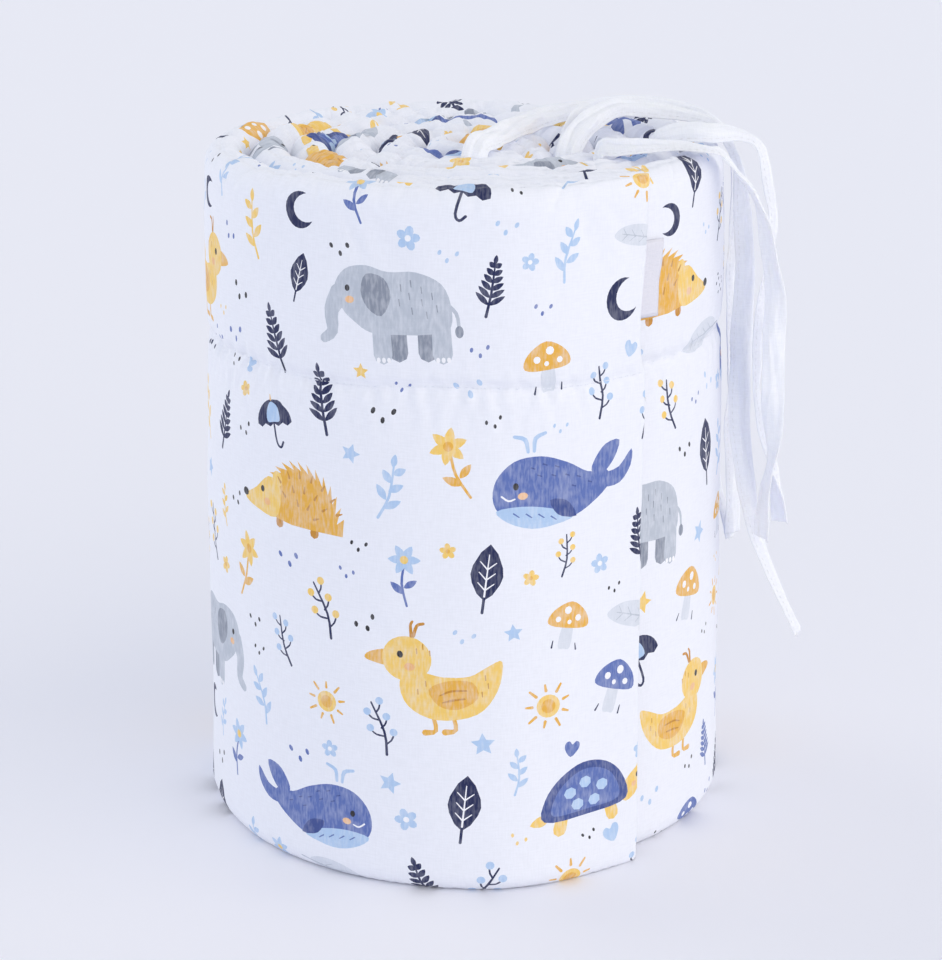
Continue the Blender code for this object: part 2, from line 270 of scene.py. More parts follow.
outline_round, outline, outline_out = section()
CLOTH_HEIGHT = outline_round[-1]
CREST = CLOTH_HEIGHT / 2.0
WALL_START = outline_round[ROUNDING_STEPS] - FOOT_ROUNDING


def up_wall(height):
    """The place round the section of a height on the outer face."""
    return WALL_START + height


def before_end(distance):
    """The place along the cloth at a distance before its outer end."""
    return CLOTH_LENGTH - distance


def angle_place(angle):
    """The place along the cloth where the winding has turned by an angle."""
    return float(np.interp(angle, line_angle[first_wound:], cloth_along[first_wound:]))


random.seed(4)


def ripple(along, up, length, waves=5, leaning=1.0):
    """Smooth uneven waves of about one length over the cloth, from -1 to 1. leaning 0 keeps them upright."""
    total = 0.0
    for _ in range(waves):
        reach = length * random.uniform(0.7, 1.5)
        lean = random.uniform(-1.2, 1.2) * leaning
        phase = random.uniform(0.0, math.tau)
        total = total + np.sin(math.tau / reach * (along * math.cos(lean) + up * math.sin(lean)) + phase)
    return total / waves * 1.4


def waved(along, up, waves):
    """Waves of several depths and lengths, added up."""
    return sum(depth * ripple(along, up, *kind) for depth, *kind in waves)


# The creases: places along and round the cloth, bearing of the fold line there (90 is upright), half its
# length, half its width, and its depth, in metres and degrees.
creases = []
OUTER_STRETCH = 0.80
# Soft upright folds beside the thin end, and where the cloth is drawn in at the tag
for distance, height, length, width, depth in (
    (0.010, 0.120, 0.090, 0.0035, 0.0006), (0.021, 0.185, 0.040, 0.0050, 0.0007),
    (0.034, 0.075, 0.055, 0.0060, 0.0006), (0.014, 0.255, 0.028, 0.0040, 0.0007),
    (0.047, 0.255, 0.022, 0.0060, 0.0006), (0.026, 0.028, 0.026, 0.0050, 0.0007),
    (0.063, 0.200, 0.018, 0.0055, 0.0005), (0.085, 0.205, 0.014, 0.0045, 0.0004),
):
    creases.append((before_end(distance), up_wall(height), 90 + random.uniform(-9, 9), length, width, depth))
# Drawn folds that come off the rim on the outer turn
for _ in range(26):
    creases.append((before_end(random.uniform(0.0, OUTER_STRETCH)), up_wall(random.uniform(0.272, 0.292)),
                    90 + random.uniform(-34, 34), random.uniform(0.010, 0.022), random.uniform(0.003, 0.006),
                    random.uniform(0.0004, 0.0012)))
# Faint slanting folds on the wall
for _ in range(22):
    creases.append((before_end(random.uniform(0.0, OUTER_STRETCH)), up_wall(random.uniform(0.02, 0.25)),
                    random.uniform(20, 160), random.uniform(0.018, 0.045), random.uniform(0.004, 0.008),
                    random.uniform(0.0002, 0.0005)))
# Deep creases that part the top edge of the wound turns into lumps, at the left and in the core
LUMP_CREASE_SHIFT = 0.0015
LUMP_CREASE_LENGTH = 0.015
for angle, bearing, width, depth in (
    (1974, 78, 0.0030, 0.0016), (1985, 104, 0.0026, 0.0022), (1995, 84, 0.0032, 0.0028),
    (2006, 112, 0.0026, 0.0020), (2017, 66, 0.0030, 0.0012), (1590, 98, 0.0042, 0.0030),
    (1611, 70, 0.0040, 0.0036), (1246, 84, 0.0045, 0.0040), (1264, 108, 0.0040, 0.0042),
    (1284, 74, 0.0042, 0.0046), (1301, 100, 0.0040, 0.0040), (1317, 80, 0.0036, 0.0022),
    (880, 96, 0.0040, 0.0036), (899, 76, 0.0042, 0.0042), (919, 104, 0.0038, 0.0042),
    (938, 82, 0.0038, 0.0036), (956, 98, 0.0032, 0.0022), (520, 84, 0.0036, 0.0034),
    (548, 102, 0.0036, 0.0040), (580, 76, 0.0036, 0.0036), (607, 98, 0.0032, 0.0026),
    (633, 84, 0.0034, 0.0034), (659, 100, 0.0032, 0.0036), (681, 80, 0.0032, 0.0034),
    (704, 96, 0.0034, 0.0030), (300, 84, 0.0040, 0.0030), (350, 100, 0.0040, 0.0032),
    (400, 84, 0.0036, 0.0030),
):
    creases.append((angle_place(angle), CREST + LUMP_CREASE_SHIFT, bearing, LUMP_CREASE_LENGTH, width, depth))
# Pleats over the rest of that edge, shallow at the front and on the outer turn
PLEATS_FROM = 250.0
PLEAT_DEPTH = 0.0025
place = angle_place(PLEATS_FROM)
while place < before_end(0.01):
    angle = float(np.interp(place, cloth_along, line_angle))
    last_turn = float(ease((angle - (LAST_ANGLE - 400.0)) / 60.0))
    at_front = float(ease((-math.sin(math.radians(angle)) - 0.3) / 0.5))
    deep = PLEAT_DEPTH * (1.0 - 0.72 * at_front) * (1.0 - 0.6 * last_turn) * random.uniform(0.55, 1.25)
    creases.append((place, CREST + random.uniform(-0.004, 0.010), 90 + random.uniform(-38, 38),
                    random.uniform(0.010, 0.020), random.uniform(0.0024, 0.0040), deep))
    place += random.uniform(0.011, 0.025)
# Fine sharp wrinkles on it
place = angle_place(PLEATS_FROM)
while place < before_end(0.008):
    creases.append((place, CREST + random.uniform(-0.013, 0.012), 90 + random.uniform(-50, 50),
                    random.uniform(0.004, 0.010), random.uniform(0.0011, 0.0021),
                    random.uniform(0.0003, 0.0009)))
    place += random.uniform(0.003, 0.008)
creases = np.array(creases)

SEAM_HEIGHT = 0.2185
SEAM_WANDER = 0.0014
SEAM_WANDER_LENGTH = 0.110
SEAM_HALF_WIDTH = 0.0028
SEAM_DEPTH = 0.0019
SEAM_PULL_HALF_WIDTH = 0.015
SEAM_GROOVE = 0.0012
SEAM_PULL = 0.0011
INNER_SEAM_SHARE = 0.7
PUCKER_LENGTH = 0.0105
PUCKER_LENGTH_ABOVE = 0.0085
PUCKER_LENGTH_BELOW = 0.0078
PUCKER_RISE_ABOVE = 0.00062
PUCKER_RISE_BELOW = 0.00100
PUCKER_REACH_ABOVE = 0.0075
PUCKER_REACH_BELOW = 0.0115
# The cloth is gathered most at this distance before the outer end.
SEAM_GATHER = 0.190
SEAM_GATHER_HALF_WIDTH = 0.030
# Waves: depth, length, and where they aren't the usual ones, how many are added up and how far they lean
FILLING_WAVES = ((0.00055, 0.085), (0.00022, 0.031))
TOP_WAVES = ((0.0008, 0.048, 4, 0.3), (0.00035, 0.017))
TOP_HALF_WIDTH = 0.020
# The closing seam runs this far outside the crest.
EDGE_SEAM = 0.0020
EDGE_SEAM_HALF_WIDTH = 0.0012
EDGE_SEAM_DEPTH = 0.0007
EDGE_SEAM_CHANGE = 0.0002
EDGE_SEAM_GROOVE = 0.0010
EDGE_PUCKER_LENGTH = 0.0062
EDGE_PUCKER_RISE = 0.00040
EDGE_PUCKER_REACH = 0.0045


def seam_round(along):
    """The place of the sewn line round the section, on the outer face. It wanders a little."""
    random.seed(11)
    return up_wall(SEAM_HEIGHT) + SEAM_WANDER * ripple(along, 0.0, SEAM_WANDER_LENGTH, 4, 0.0)


def relief(along, up):
    """How far the cloth stands out from the plain wound form."""
    out = np.zeros_like(along)
    # The sewn line and the short puckers along it, on both faces
    seam = seam_round(along)
    gathered = 1.0 + 0.8 * bell(CLOTH_LENGTH - along - SEAM_GATHER, SEAM_GATHER_HALF_WIDTH)
    for middle, share in ((seam, 1.0), (CLOTH_HEIGHT - seam, INNER_SEAM_SHARE)):
        away = up - middle
        random.seed(21)
        pucker = ripple(along, 0.0, PUCKER_LENGTH, 6, 0.0)
        above = PUCKER_RISE_ABOVE * ripple(along, away, PUCKER_LENGTH_ABOVE, 5, 0.35)
        below = PUCKER_RISE_BELOW * ripple(along, away, PUCKER_LENGTH_BELOW, 5, 0.35)
        out -= share * SEAM_DEPTH * (1.0 + 0.35 * pucker) * bell(away, SEAM_HALF_WIDTH)
        out -= share * SEAM_PULL * bell(away, SEAM_PULL_HALF_WIDTH)
        reach = np.where(away > 0.0, PUCKER_REACH_ABOVE, PUCKER_REACH_BELOW)
        fade = np.exp(-np.abs(away) / reach) * (1.0 - bell(away, SEAM_GROOVE))
        out += share * fade * gathered * np.where(away > 0.0, above, below)
    # The filling's soft unevenness
    random.seed(31)
    out += waved(along, up, FILLING_WAVES)
    # The top edge: plump stretches and drawn-in ones
    top = bell(up - CREST, TOP_HALF_WIDTH)
    out += top * waved(along, up, TOP_WAVES)
    # The closing seam, with its own short puckers
    away = up - CREST + EDGE_SEAM
    puckers = ripple(along, away, EDGE_PUCKER_LENGTH, 6, 0.25)
    out -= (EDGE_SEAM_DEPTH + EDGE_SEAM_CHANGE * puckers) * bell(away, EDGE_SEAM_HALF_WIDTH)
    fade = np.exp(-np.abs(away) / EDGE_PUCKER_REACH)
    out += EDGE_PUCKER_RISE * puckers * fade * (1.0 - bell(away, EDGE_SEAM_GROOVE))
    # The creases, each worked out only near its own place
    order = np.argsort(along, kind="stable")
    in_order = along[order]
    for place, round_place, bearing, length, width, depth in creases:
        reach = 3.0 * max(length, width)
        near = order[np.searchsorted(in_order, place - reach):np.searchsorted(in_order, place + reach)]
        bearing = math.radians(bearing)
        right = along[near] - place
        rise = up[near] - round_place
        ahead_by = (right * math.cos(bearing) + rise * math.sin(bearing)) / length
        aside = ((rise * math.cos(bearing) - right * math.sin(bearing)) / width) ** 2
        out[near] -= depth * (1.0 - 0.45 * aside) * np.exp(-0.7 * aside - ahead_by * ahead_by)
    return out


# The outer end isn't quite straight: heights, and how far along the winding it reaches past its middle place
END_HEIGHTS = (0.0, 0.088, 0.113, 0.130, 0.150, 0.163, 0.188, 0.204, 0.217, 0.223, 0.229, 0.240, 0.246,
               0.254, 0.263, 0.271, 0.279, 0.294)
END_SHIFTS = (0.0, 0.0, 0.0004, 0.0010, 0.0002, 0.0010, 0.0012, 0.0023, 0.0018, 0.0, -0.0006, -0.0008,
              -0.0004, 0.0004, 0.0016, 0.0020, 0.0023, 0.0037)
END_SHIFT_REACH = 0.035
FLAT_FOOT = 0.006


def widening(height):
    """The roll is wider towards its base."""
    return 1.0 + BASE_SPREAD * (1.0 - height / PAD_HEIGHT)


def wound(along, up, lift=0.0):
    """Where a place on the cloth comes to lie on the wound pad."""
    x, y, out_x, out_y, inner, outer = [
        np.interp(along, cloth_along, values) for values in (*line.T, *line_out.T, face_in, face_out)]
    share, height, out_across, out_up = [
        np.interp(up, outline_round, values) for values in (*outline.T, *outline_out.T)]
    half_here = (inner + outer) / 2.0
    # The relief fades out where the pad gets thin, and at its flat foot.
    thin = np.clip(half_here / (PAD_THICKNESS / 2.0), 0.0, 1.0)
    raised = relief(along, up) * np.clip(thin * 1.4 - 0.2, 0.0, 1.0) + lift
    foot = np.clip(height / FLAT_FOOT, 0.0, 1.0)
    across = (outer - inner) / 2.0 + half_here * share + out_across * raised * foot
    height = height + out_up * raised * foot
    x = (x + out_x * across) * widening(height)
    y = (y + out_y * across) * widening(height)
    shifted = np.interp(height, END_HEIGHTS, END_SHIFTS)
    shifted = shifted * ease(1.0 - (CLOTH_LENGTH - along) / END_SHIFT_REACH)
    bend = shifted / np.maximum(np.hypot(x, y), PAD_THICKNESS)
    cos, sin = np.cos(bend), np.sin(bend)
    return np.stack([x * cos - y * sin, x * sin + y * cos, height], axis=1)


def light_of(red, green, blue, alpha=1.0):
    """A display colour, 0 to 255, as the light values that Blender works in."""
    def linear(value):
        value /= 255.0
        return value / 12.92 if value <= 0.04045 else ((value + 0.055) / 1.055) ** 2.4
    return (linear(red), linear(green), linear(blue), alpha)


# The print's inks. The fourth value is how dry and streaky an ink lies; 0 is the bare cloth.
GROUND = light_of(238, 240, 248, 0.0)
INKS = {
    "grey": light_of(188, 195, 207), "dark grey": light_of(140, 147, 162),
    "pale grey": light_of(217, 222, 232), "periwinkle": light_of(97, 117, 180, 0.7),
    "deep blue": light_of(70, 86, 146, 0.55), "light blue": light_of(178, 204, 236),
    "navy": light_of(42, 48, 86, 0.4), "mustard": light_of(244, 205, 112),
    "ochre": light_of(232, 178, 78), "amber": light_of(200, 142, 60),
    "black": light_of(55, 54, 58, 0.4), "white": light_of(246, 246, 250),
    "blush": light_of(240, 186, 130),
}


def disc(x, y, across, up, turn=0.0, sides=16):
    """A round or oval dot."""
    turn, points = math.radians(turn), []
    for side in range(sides):
        angle = math.tau * side / sides
        right, rise = across * math.cos(angle), up * math.sin(angle)
        points.append((x + right * math.cos(turn) - rise * math.sin(turn),
                       y + right * math.sin(turn) + rise * math.cos(turn)))
    return points


def curve(points, steps=4, closed=True):
    """A smooth line through points."""
    count, smooth = len(points), []
    for index in range(count if closed else count - 1):
        near = [index + shift for shift in (-1, 0, 1, 2)]
        near = [place % count if closed else min(max(place, 0), count - 1) for place in near]
        for step in range(steps):
            t = step / steps
            smooth.append(tuple(
                b + t * ((c - a) + t * ((2 * a - 5 * b + 4 * c - d) + t * (3 * b - a - 3 * c + d))) / 2.0
                for a, b, c, d in zip(*[points[place] for place in near])))
    return smooth if closed else smooth + [tuple(points[-1])]


def brush(path, *widths, steps=3):
    """A stroke along a path, with widths spread evenly over its length and round tips."""
    middle = curve(path, steps, closed=False)
    count = len(middle)
    left, right, tips = [], [], []
    for index, (x, y) in enumerate(middle):
        before, after = middle[max(index - 1, 0)], middle[min(index + 1, count - 1)]
        dx, dy = after[0] - before[0], after[1] - before[1]
        long = math.hypot(dx, dy) or 1.0
        dx, dy = dx / long, dy / long
        half_width = float(np.interp(index / (count - 1), np.linspace(0, 1, len(widths)), widths)) / 2.0
        left.append((x - dy * half_width, y + dx * half_width))
        right.append((x + dy * half_width, y - dx * half_width))
        if index in (0, count - 1):
            way = 1.0 if index else -1.0
            tips.append([(x + half_width * (way * dx * math.cos(turn) - dy * math.sin(turn)),
                          y + half_width * (way * dy * math.cos(turn) + dx * math.sin(turn)))
                         for turn in (0.9, 0.0, -0.9)])
    return left + tips[1] + right[::-1] + tips[0][::-1]


def leaf(x, y, long, wide, turn):
    """A pointed leaf from its stalk's end."""
    cos, sin = math.cos(math.radians(turn)), math.sin(math.radians(turn))
    shape = [(0, 0), (0.3 * long, 0.42 * wide), (0.6 * long, 0.45 * wide), (long, 0),
             (0.6 * long, -0.45 * wide), (0.3 * long, -0.42 * wide)]
    return curve([(x + right * cos - rise * sin, y + right * sin + rise * cos) for right, rise in shape], 2)


def hairs(ink, places, right, rise, thick, thin):
    """Short strokes of one slant, one from each place."""
    return [(ink, brush([(x, y), (x + right, y + rise)], thick, thin, steps=1)) for x, y in places]


# The motifs, each a list of ink and outline, in millimetres about its middle
def elephant():
    parts = [("grey", brush([(-27, 9), (-32, 1), (-32, -9), (-37, -13)], 11, 8, 6, 4.5))]
    parts += [("dark grey", brush([(x, -4), (x, -19)], 8.5, 9)) for x in (1.5, 15.5)]
    parts += [("grey", brush([(25.5, 5), (30, 0), (31, -7)], 2, 1.6)), ("dark grey", disc(31, -9, 2, 3))]
    parts += [("grey", curve([(-26, 2), (-30, 12), (-24, 21), (-13, 23), (-2, 20), (12, 20), (24, 14),
                              (28, 2), (26, -8), (14, -10), (0, -10), (-12, -9), (-20, -4)], 4))]
    parts += [("grey", brush([(x, -5), (x, -20)], 9, 9.5)) for x in (-6.5, 22.5)]
    parts += [("dark grey", curve([(-13, 19), (-4, 17), (-1, 8), (-6, -1), (-13, 3), (-16, 11)], 3))]
    parts += [("black", disc(-23, 12, 1.3, 1.6, 0, 10)), ("blush", disc(-22, 6.5, 2.4, 1.8, 0, 10))]
    parts += [("white", disc(foot + toe, -22.6, 1.0, 1.4, 0, 8))
              for foot in (-6.5, 22.5) for toe in (-2.4, 0.2, 2.8)]
    places = (4, 14), (9, 16), (14, 13), (19, 10), (8, 10), (14, 7), (21, 4), (3, 7), (9, 3), (16, 1)
    return parts + hairs("dark grey", places, 0.3, -3, 0.7, 0.5)


def duck():
    parts = [("ochre", brush([(x, -12), (x - 1, -20), (x + 4, -21)], 1.8, 2, 3)) for x in (-3, 6)]
    parts += [("mustard", curve([(-27, 12), (-24, -2), (-14, -13), (4, -15), (17, -8), (20, 4), (12, 9),
                                 (0, 6), (-12, 6), (-20, 10)], 4))]
    parts += [("ochre", curve([(25, 19), (33, 18), (36, 15), (32, 13), (25, 12)], 3)),
              ("mustard", disc(16, 15, 11.5, 11, 0, 24)),
              ("ochre", curve([(-13, 3), (-2, 4), (7, 0), (3, -8), (-6, -10), (-15, -5)], 3)),
              ("amber", brush([(-10, -1), (-3, -1), (2, -3)], 0.9, 1.1, 0.7)),
              ("amber", brush([(-9, -5), (-3, -5.5), (1, -6.5)], 0.9, 1.1, 0.7)),
              ("black", disc(19, 17, 1.5, 1.8, 0, 10)), ("blush", disc(15, 11, 2.6, 2, 0, 10)),
              ("amber", brush([(12, 26), (10, 31), (7, 32)], 1.6, 1.4)),
              ("amber", brush([(13, 26), (13, 31), (12, 33)], 1.6, 1.2))]
    places = (8, 22), (11, 20), (5, 19), (-20, 2), (-17, -2), (8, 4), (12, 0), (-19, 6)
    return parts + hairs("amber", places, 0, -2.4, 0.6, 0.5)


def whale():
    parts = [("periwinkle", curve([(22, 2), (30, 8), (34, 17), (26, 17), (20, 12), (17, 6)], 3)),
             ("periwinkle", curve([(24, 2), (33, 4), (41, 11), (40, 3), (33, -4), (24, -4)], 3)),
             ("periwinkle", curve([(-33, -2), (-31, 9), (-22, 17), (-9, 18), (4, 13), (15, 6), (26, 4),
                                   (27, -3), (17, -10), (3, -15), (-14, -16), (-27, -11)], 4)),
             ("light blue", curve([(-32, -6), (-20, -5), (-6, -8), (6, -14), (-4, -16.5), (-16, -16.5),
                                   (-27, -12)], 3)),
             ("deep blue", leaf(-6, -4, 17, 8, -38)),
             ("black", disc(-22, 5, 1.4, 1.8, 0, 10)), ("blush", disc(-19, 0, 2.5, 1.8, 0, 10)),
             ("white", brush([(-29, 1), (-26, -1.5), (-23, -1)], 0.9, 0.9)),
             ("light blue", brush([(-15, 21), (-16, 27), (-21, 29)], 1.6, 2.2, 1.6)),
             ("light blue", brush([(-12, 21), (-11, 27), (-6, 29)], 1.6, 2.2, 1.6))]
    parts += hairs("periwinkle", ((-24, -8), (-18, -9), (-12, -10), (-6, -12)), 2.5, -2, 0.8, 0.6)
    places = (-14, 13), (-8, 14), (-2, 12), (-11, 9), (-4, 8), (3, 7), (9, 5), (15, 1), (6, 1)
    return parts + hairs("deep blue", places, 1.8, -0.8, 0.8, 0.6)


def hedgehog():
    spikes = []
    for step in range(15):
        angle = math.radians(12 + 164 * step / 14)
        for reach, shift in ((1.0, 0.0), (0.84, 0.1)):
            spikes.append((4 + 27 * reach * math.cos(angle - shift),
                           -10 + 29 * reach * math.sin(angle - shift)))
    parts = [("amber", brush([(x, -10), (x, -15)], 4, 5)) for x in (-8, 14)]
    parts += [("ochre", [(30, -13)] + spikes + [(-20, -12), (0, -14)]),
              ("mustard", curve([(-36, -8), (-27, -2), (-18, 6), (-10, 4), (-8, -4), (-11, -13), (-24, -13),
                                 (-34, -11)], 3)),
              ("mustard", disc(-11, 6.5, 3.4, 4, 20, 12)), ("black", disc(-36, -7, 2.3, 2.1, 0, 10)),
              ("black", disc(-22, -1.5, 1.4, 1.7, 0, 10)), ("blush", disc(-18, -7, 2.5, 1.9, 0, 10))]
    for row, (reach, count) in enumerate(((22, 7), (15, 5), (8, 3))):
        for step in range(count):
            angle = math.radians(22 + 128 * (step + 0.5 * (row % 2)) / count)
            cos, sin = math.cos(angle), math.sin(angle)
            parts += hairs("amber", [(6 + reach * cos, -11 + reach * sin)], 3 * cos, 3 * sin, 1.4, 0.7)
    return parts


def turtle():
    parts = [("mustard", curve([(-20, -6), (-27, 2), (-35, 5), (-38, -1), (-33, -8), (-24, -12)], 3))]
    parts += [("mustard", brush([(x, -9), (x + lean, -16)], 7, 7.5)) for x, lean in ((-13, -2), (15, 2))]
    parts += [("mustard", leaf(22, -8, 11, 6, -12)),
              ("deep blue", curve([(-24, -10), (-22, 4), (-12, 14), (2, 17), (15, 12), (24, 2), (25, -10),
                                   (0, -12)], 4)),
              ("periwinkle", curve([(-19, -8), (-17, 4), (-9, 11), (2, 13), (12, 9), (19, 1), (20, -8),
                                    (0, -9)], 4)),
              ("black", disc(-33, 0, 1.2, 1.5, 0, 8)), ("blush", disc(-30, -4, 2, 1.5, 0, 8))]
    spots = (-9, 2), (1, 6), (10, 2), (-4, -5), (6, -5)
    return parts + [("light blue", disc(x, y, 3.6, 3.2, 0, 7)) for x, y in spots]


def fern(ink):
    parts = [(ink, brush([(0, -15), (0.6, -3), (0, 14)], 1.6, 1.3, 0.8))]
    for step in range(6):
        y, long = -9 + step * 3.9, 9.5 - step * 1.1
        parts += [(ink, leaf(0.2, y, long, 3.0, 38)), (ink, leaf(0.2, y, long, 3.0, 142))]
    return parts + [(ink, leaf(0, 12, 5, 2.4, 90))]


def big_leaf(ink, rib):
    parts = [(ink, brush([(0, -17), (0, -8)], 1.3, 1.3)), (ink, leaf(0, -11, 27, 15, 90)),
             (rib, brush([(0, -9), (0, 11)], 0.9, 0.5, steps=1))]
    for y in (-6, -1, 4):
        for side in (-1, 1):
            parts += hairs(rib, [(0, y)], side * 3.6, 3.4, 0.8, 0.5)
    return parts


def mushroom(cap, dot):
    parts = [("pale grey", curve([(-3.4, -11), (-2.6, 1), (2.6, 1), (3.4, -11), (0, -12)], 3)),
             (cap, curve([(-11, 0), (-9, 7), (0, 12), (9, 7), (11, 0), (0, -1.5)], 4))]
    for x, y, reach in ((-5, 4, 1.7), (1.5, 7.5, 2.0), (6, 2.6, 1.5), (-0.5, 1.6, 1.2)):
        parts.append((dot, disc(x, y, reach, reach, 0, 9)))
    return parts + hairs("navy", [(-7, -12)], 1, 3, 0.9, 0.6) + hairs("navy", [(6.5, -12)], 0, 3.5, 0.9, 0.6)


def moon(ink):
    outer = [(9 * math.cos(t), 9 * math.sin(t)) for t in np.radians(np.linspace(50, 310, 18))]
    inner = [(4.6 + 8.1 * math.cos(t), 8.1 * math.sin(t) * 0.86)
             for t in np.radians(np.linspace(282, 78, 13))]
    return [(ink, outer + inner)]


def sun():
    parts = [("mustard", disc(0, 0, 5.6, 5.6, 0, 18)), ("ochre", disc(0, 0, 3.4, 3.4, 0, 14))]
    for ray in range(9):
        angle = math.tau * ray / 9
        near, far = 7.6, 11.6 if ray % 2 else 10.4
        parts.append(("ochre", brush([(near * math.cos(angle), near * math.sin(angle)),
                                      (far * math.cos(angle), far * math.sin(angle))], 1.5, 1.1, steps=1)))
    return parts


def heart(ink):
    half = [(-5.4, -0.6), (-5.8, 4), (-2.8, 5.6)]
    return [(ink, curve([(0, -6)] + half + [(0, 3.2)] + [(-x, y) for x, y in reversed(half)], 3))]


def daisy(petal, middle, stem):
    parts = [(stem, brush([(0, 6), (1.4, -4), (-0.8, -15)], 1.1, 1.3, 1.1)),
             (stem, leaf(0.6, -9, 8.5, 3.8, 42)), (stem, leaf(0.4, -6, 7.5, 3.4, 148))]
    parts += [(petal, leaf(0, 8, 8.0, 4.2, angle)) for angle in range(0, 360, 60)]
    return parts + [(middle, disc(0, 8, 2.1, 2.1, 0, 10))]


def umbrella():
    rim = [(-13, 0), (-9.8, -1.7), (-6.5, 0), (-3.2, -1.7), (0, 0), (3.2, -1.7), (6.5, 0), (9.8, -1.7),
           (13, 0)]
    dome = [(13 * math.cos(t), 12 * math.sin(t)) for t in np.radians(np.linspace(12, 168, 14))]
    return [("navy", brush([(0, 0), (0, -10), (2.4, -12.5), (4.6, -10)], 1.3, 1.3, 1.3)),
            ("navy", rim + dome),
            ("light blue", curve([(-4.6, 1), (-4.0, 7), (0, 11), (4.0, 7), (4.6, 1), (0, 0.6)], 3)),
            ("ochre", brush([(0, 12), (0, 14.4)], 1.3, 0.8, steps=1))]


def feather(ink, rib):
    parts = [(ink, curve([(-19, -1), (-12, 5), (0, 7.5), (13, 5), (20, -1), (12, -5), (0, -6),
                          (-12, -4.5)], 4)),
             (rib, brush([(-24, -3), (-8, -0.6), (14, 0.4)], 1.0, 0.9, 0.5))]
    for x in (-10, -3, 4, 10):
        for side in (-1, 1):
            parts.append((rib, brush([(x, -0.4), (x + 3.4, side * 3.6)], 0.7, 0.4, steps=1)))
    return parts


def sprig(ink, berry=None):
    parts = [(ink, brush([(-1, -14), (1.2, -3), (-0.6, 12)], 1.3, 1.2, 0.9))]
    for step, (y, side) in enumerate(((-9, 1), (-5, -1), (-1, 1), (3, -1), (7, 1))):
        if berry:
            x_end, y_end = side * (5.4 - step * 0.5), y + 4.0
            parts += [(ink, brush([(0.4, y), (x_end * 0.6, y + 1.4), (x_end, y_end)], 0.9, 0.8)),
                      (berry, disc(x_end, y_end + 1.0, 1.9, 1.9, 0, 10))]
        else:
            parts.append((ink, leaf(0.3, y, 8.6 - step * 0.6, 3.6, 90 - side * 48)))
    return parts + ([] if berry else [(ink, leaf(-0.6, 10, 6, 3, 96))])


def star(ink):
    points = []
    for point in range(10):
        reach, angle = (6.0 if point % 2 == 0 else 2.9), math.pi / 2 + math.pi * point / 5
        points.append((reach * math.cos(angle), reach * math.sin(angle)))
    return [(ink, curve(points, 2))]


def blossom(ink, middle):
    parts = [(ink, disc(3.1 * math.cos(t), 3.1 * math.sin(t), 2.6, 2.0, math.degrees(t), 9))
             for t in np.arange(5) * math.tau / 5 + 0.3]
    return parts + [(middle, disc(0, 0, 1.5, 1.5, 0, 8))]


def dots(ink, places):
    return [(ink, disc(x, y, 1.0, 1.5, 8 * number, 8)) for number, (x, y) in enumerate(places)]


def few_dots(ink):
    return dots(ink, ((0, 0), (5, 3), (-4, 5)))


def many_dots(ink):
    return dots(ink, ((-8, 2), (-3, 5), (1, -1), (6, 4), (11, 0), (-5, -4), (4, -6), (9, 7)))


# The big animals are set one by one: distance before the pad's end, height on the outer face, lean, size, and
# whether it is mirrored. Those past 640 mm are on the stretch that shows beyond the end.
by_hand = (
    (elephant, 112, 249, 3, 0.84, False), (duck, 236, 246, -4, 0.84, False),
    (whale, 44, 176, 4, 0.86, False), (hedgehog, 160, 166, -3, 0.86, False),
    (turtle, 276, 150, 2, 0.84, False), (duck, 92, 92, 4, 0.90, True), (elephant, 226, 84, -3, 0.86, True),
    (turtle, 30, 40, 3, 0.84, True), (whale, 150, 28, -4, 0.82, True), (hedgehog, 700, 250, 3, 0.86, True),
    (elephant, 715, 150, -3, 0.86, False), (duck, 690, 55, 3, 0.86, False),
    (whale, 610, 205, 3, 0.86, False), (turtle, 605, 110, -2, 0.86, True),
    (hedgehog, 590, 35, 2, 0.86, False), (elephant, 520, 248, 2, 0.86, True),
    (duck, 508, 160, -3, 0.86, False), (whale, 500, 72, 4, 0.86, True),
    (hedgehog, 430, 205, 2, 0.86, False), (turtle, 418, 118, 3, 0.86, False),
    (elephant, 402, 38, -2, 0.86, False), (duck, 350, 252, 3, 0.86, True),
    (whale, 335, 186, -3, 0.86, False), (hedgehog, 330, 100, 2, 0.86, True),
    (duck, 318, 30, -2, 0.86, False),
)
MEDIUM = (
    (fern("navy"), 5), (big_leaf("navy", "white"), 3), (mushroom("ochre", "white"), 3),
    (mushroom("periwinkle", "white"), 1), (sun(), 2), (umbrella(), 3), (feather("pale grey", "grey"), 3),
    (daisy("light blue", "mustard", "periwinkle"), 3), (sprig("mustard"), 3), (sprig("light blue"), 3),
    (sprig("navy", "mustard"), 3), (sprig("navy", "light blue"), 2), (daisy("mustard", "ochre", "ochre"), 1),
    (fern("periwinkle"), 1), (moon("navy"), 1),
)
SMALL = (
    (star("light blue"), 5), (star("mustard"), 4), (blossom("mustard", "ochre"), 3),
    (blossom("light blue", "white"), 3), (heart("periwinkle"), 2), (heart("light blue"), 2),
    (few_dots("black"), 4), (few_dots("light blue"), 3), (few_dots("mustard"), 2), (many_dots("navy"), 3),
    (moon("ochre"), 1), (few_dots("periwinkle"), 2), (sprig("mustard"), 1), (sprig("light blue"), 1),
)
ANIMALS = [(animal(), 1) for animal in (elephant, duck, whale, hedgehog, turtle)]
# The stretches of the cloth that show: the outer turn, and the band of all turns at the top edge
SHOWN_TURN = 376.0
BAND_HEIGHT = 0.262
WALL_FROM_ANGLE = LAST_ANGLE - SHOWN_TURN
WALL_FROM = angle_place(WALL_FROM_ANGLE)
BAND_START = up_wall(BAND_HEIGHT)
BAND_END = CLOTH_HEIGHT - BAND_START

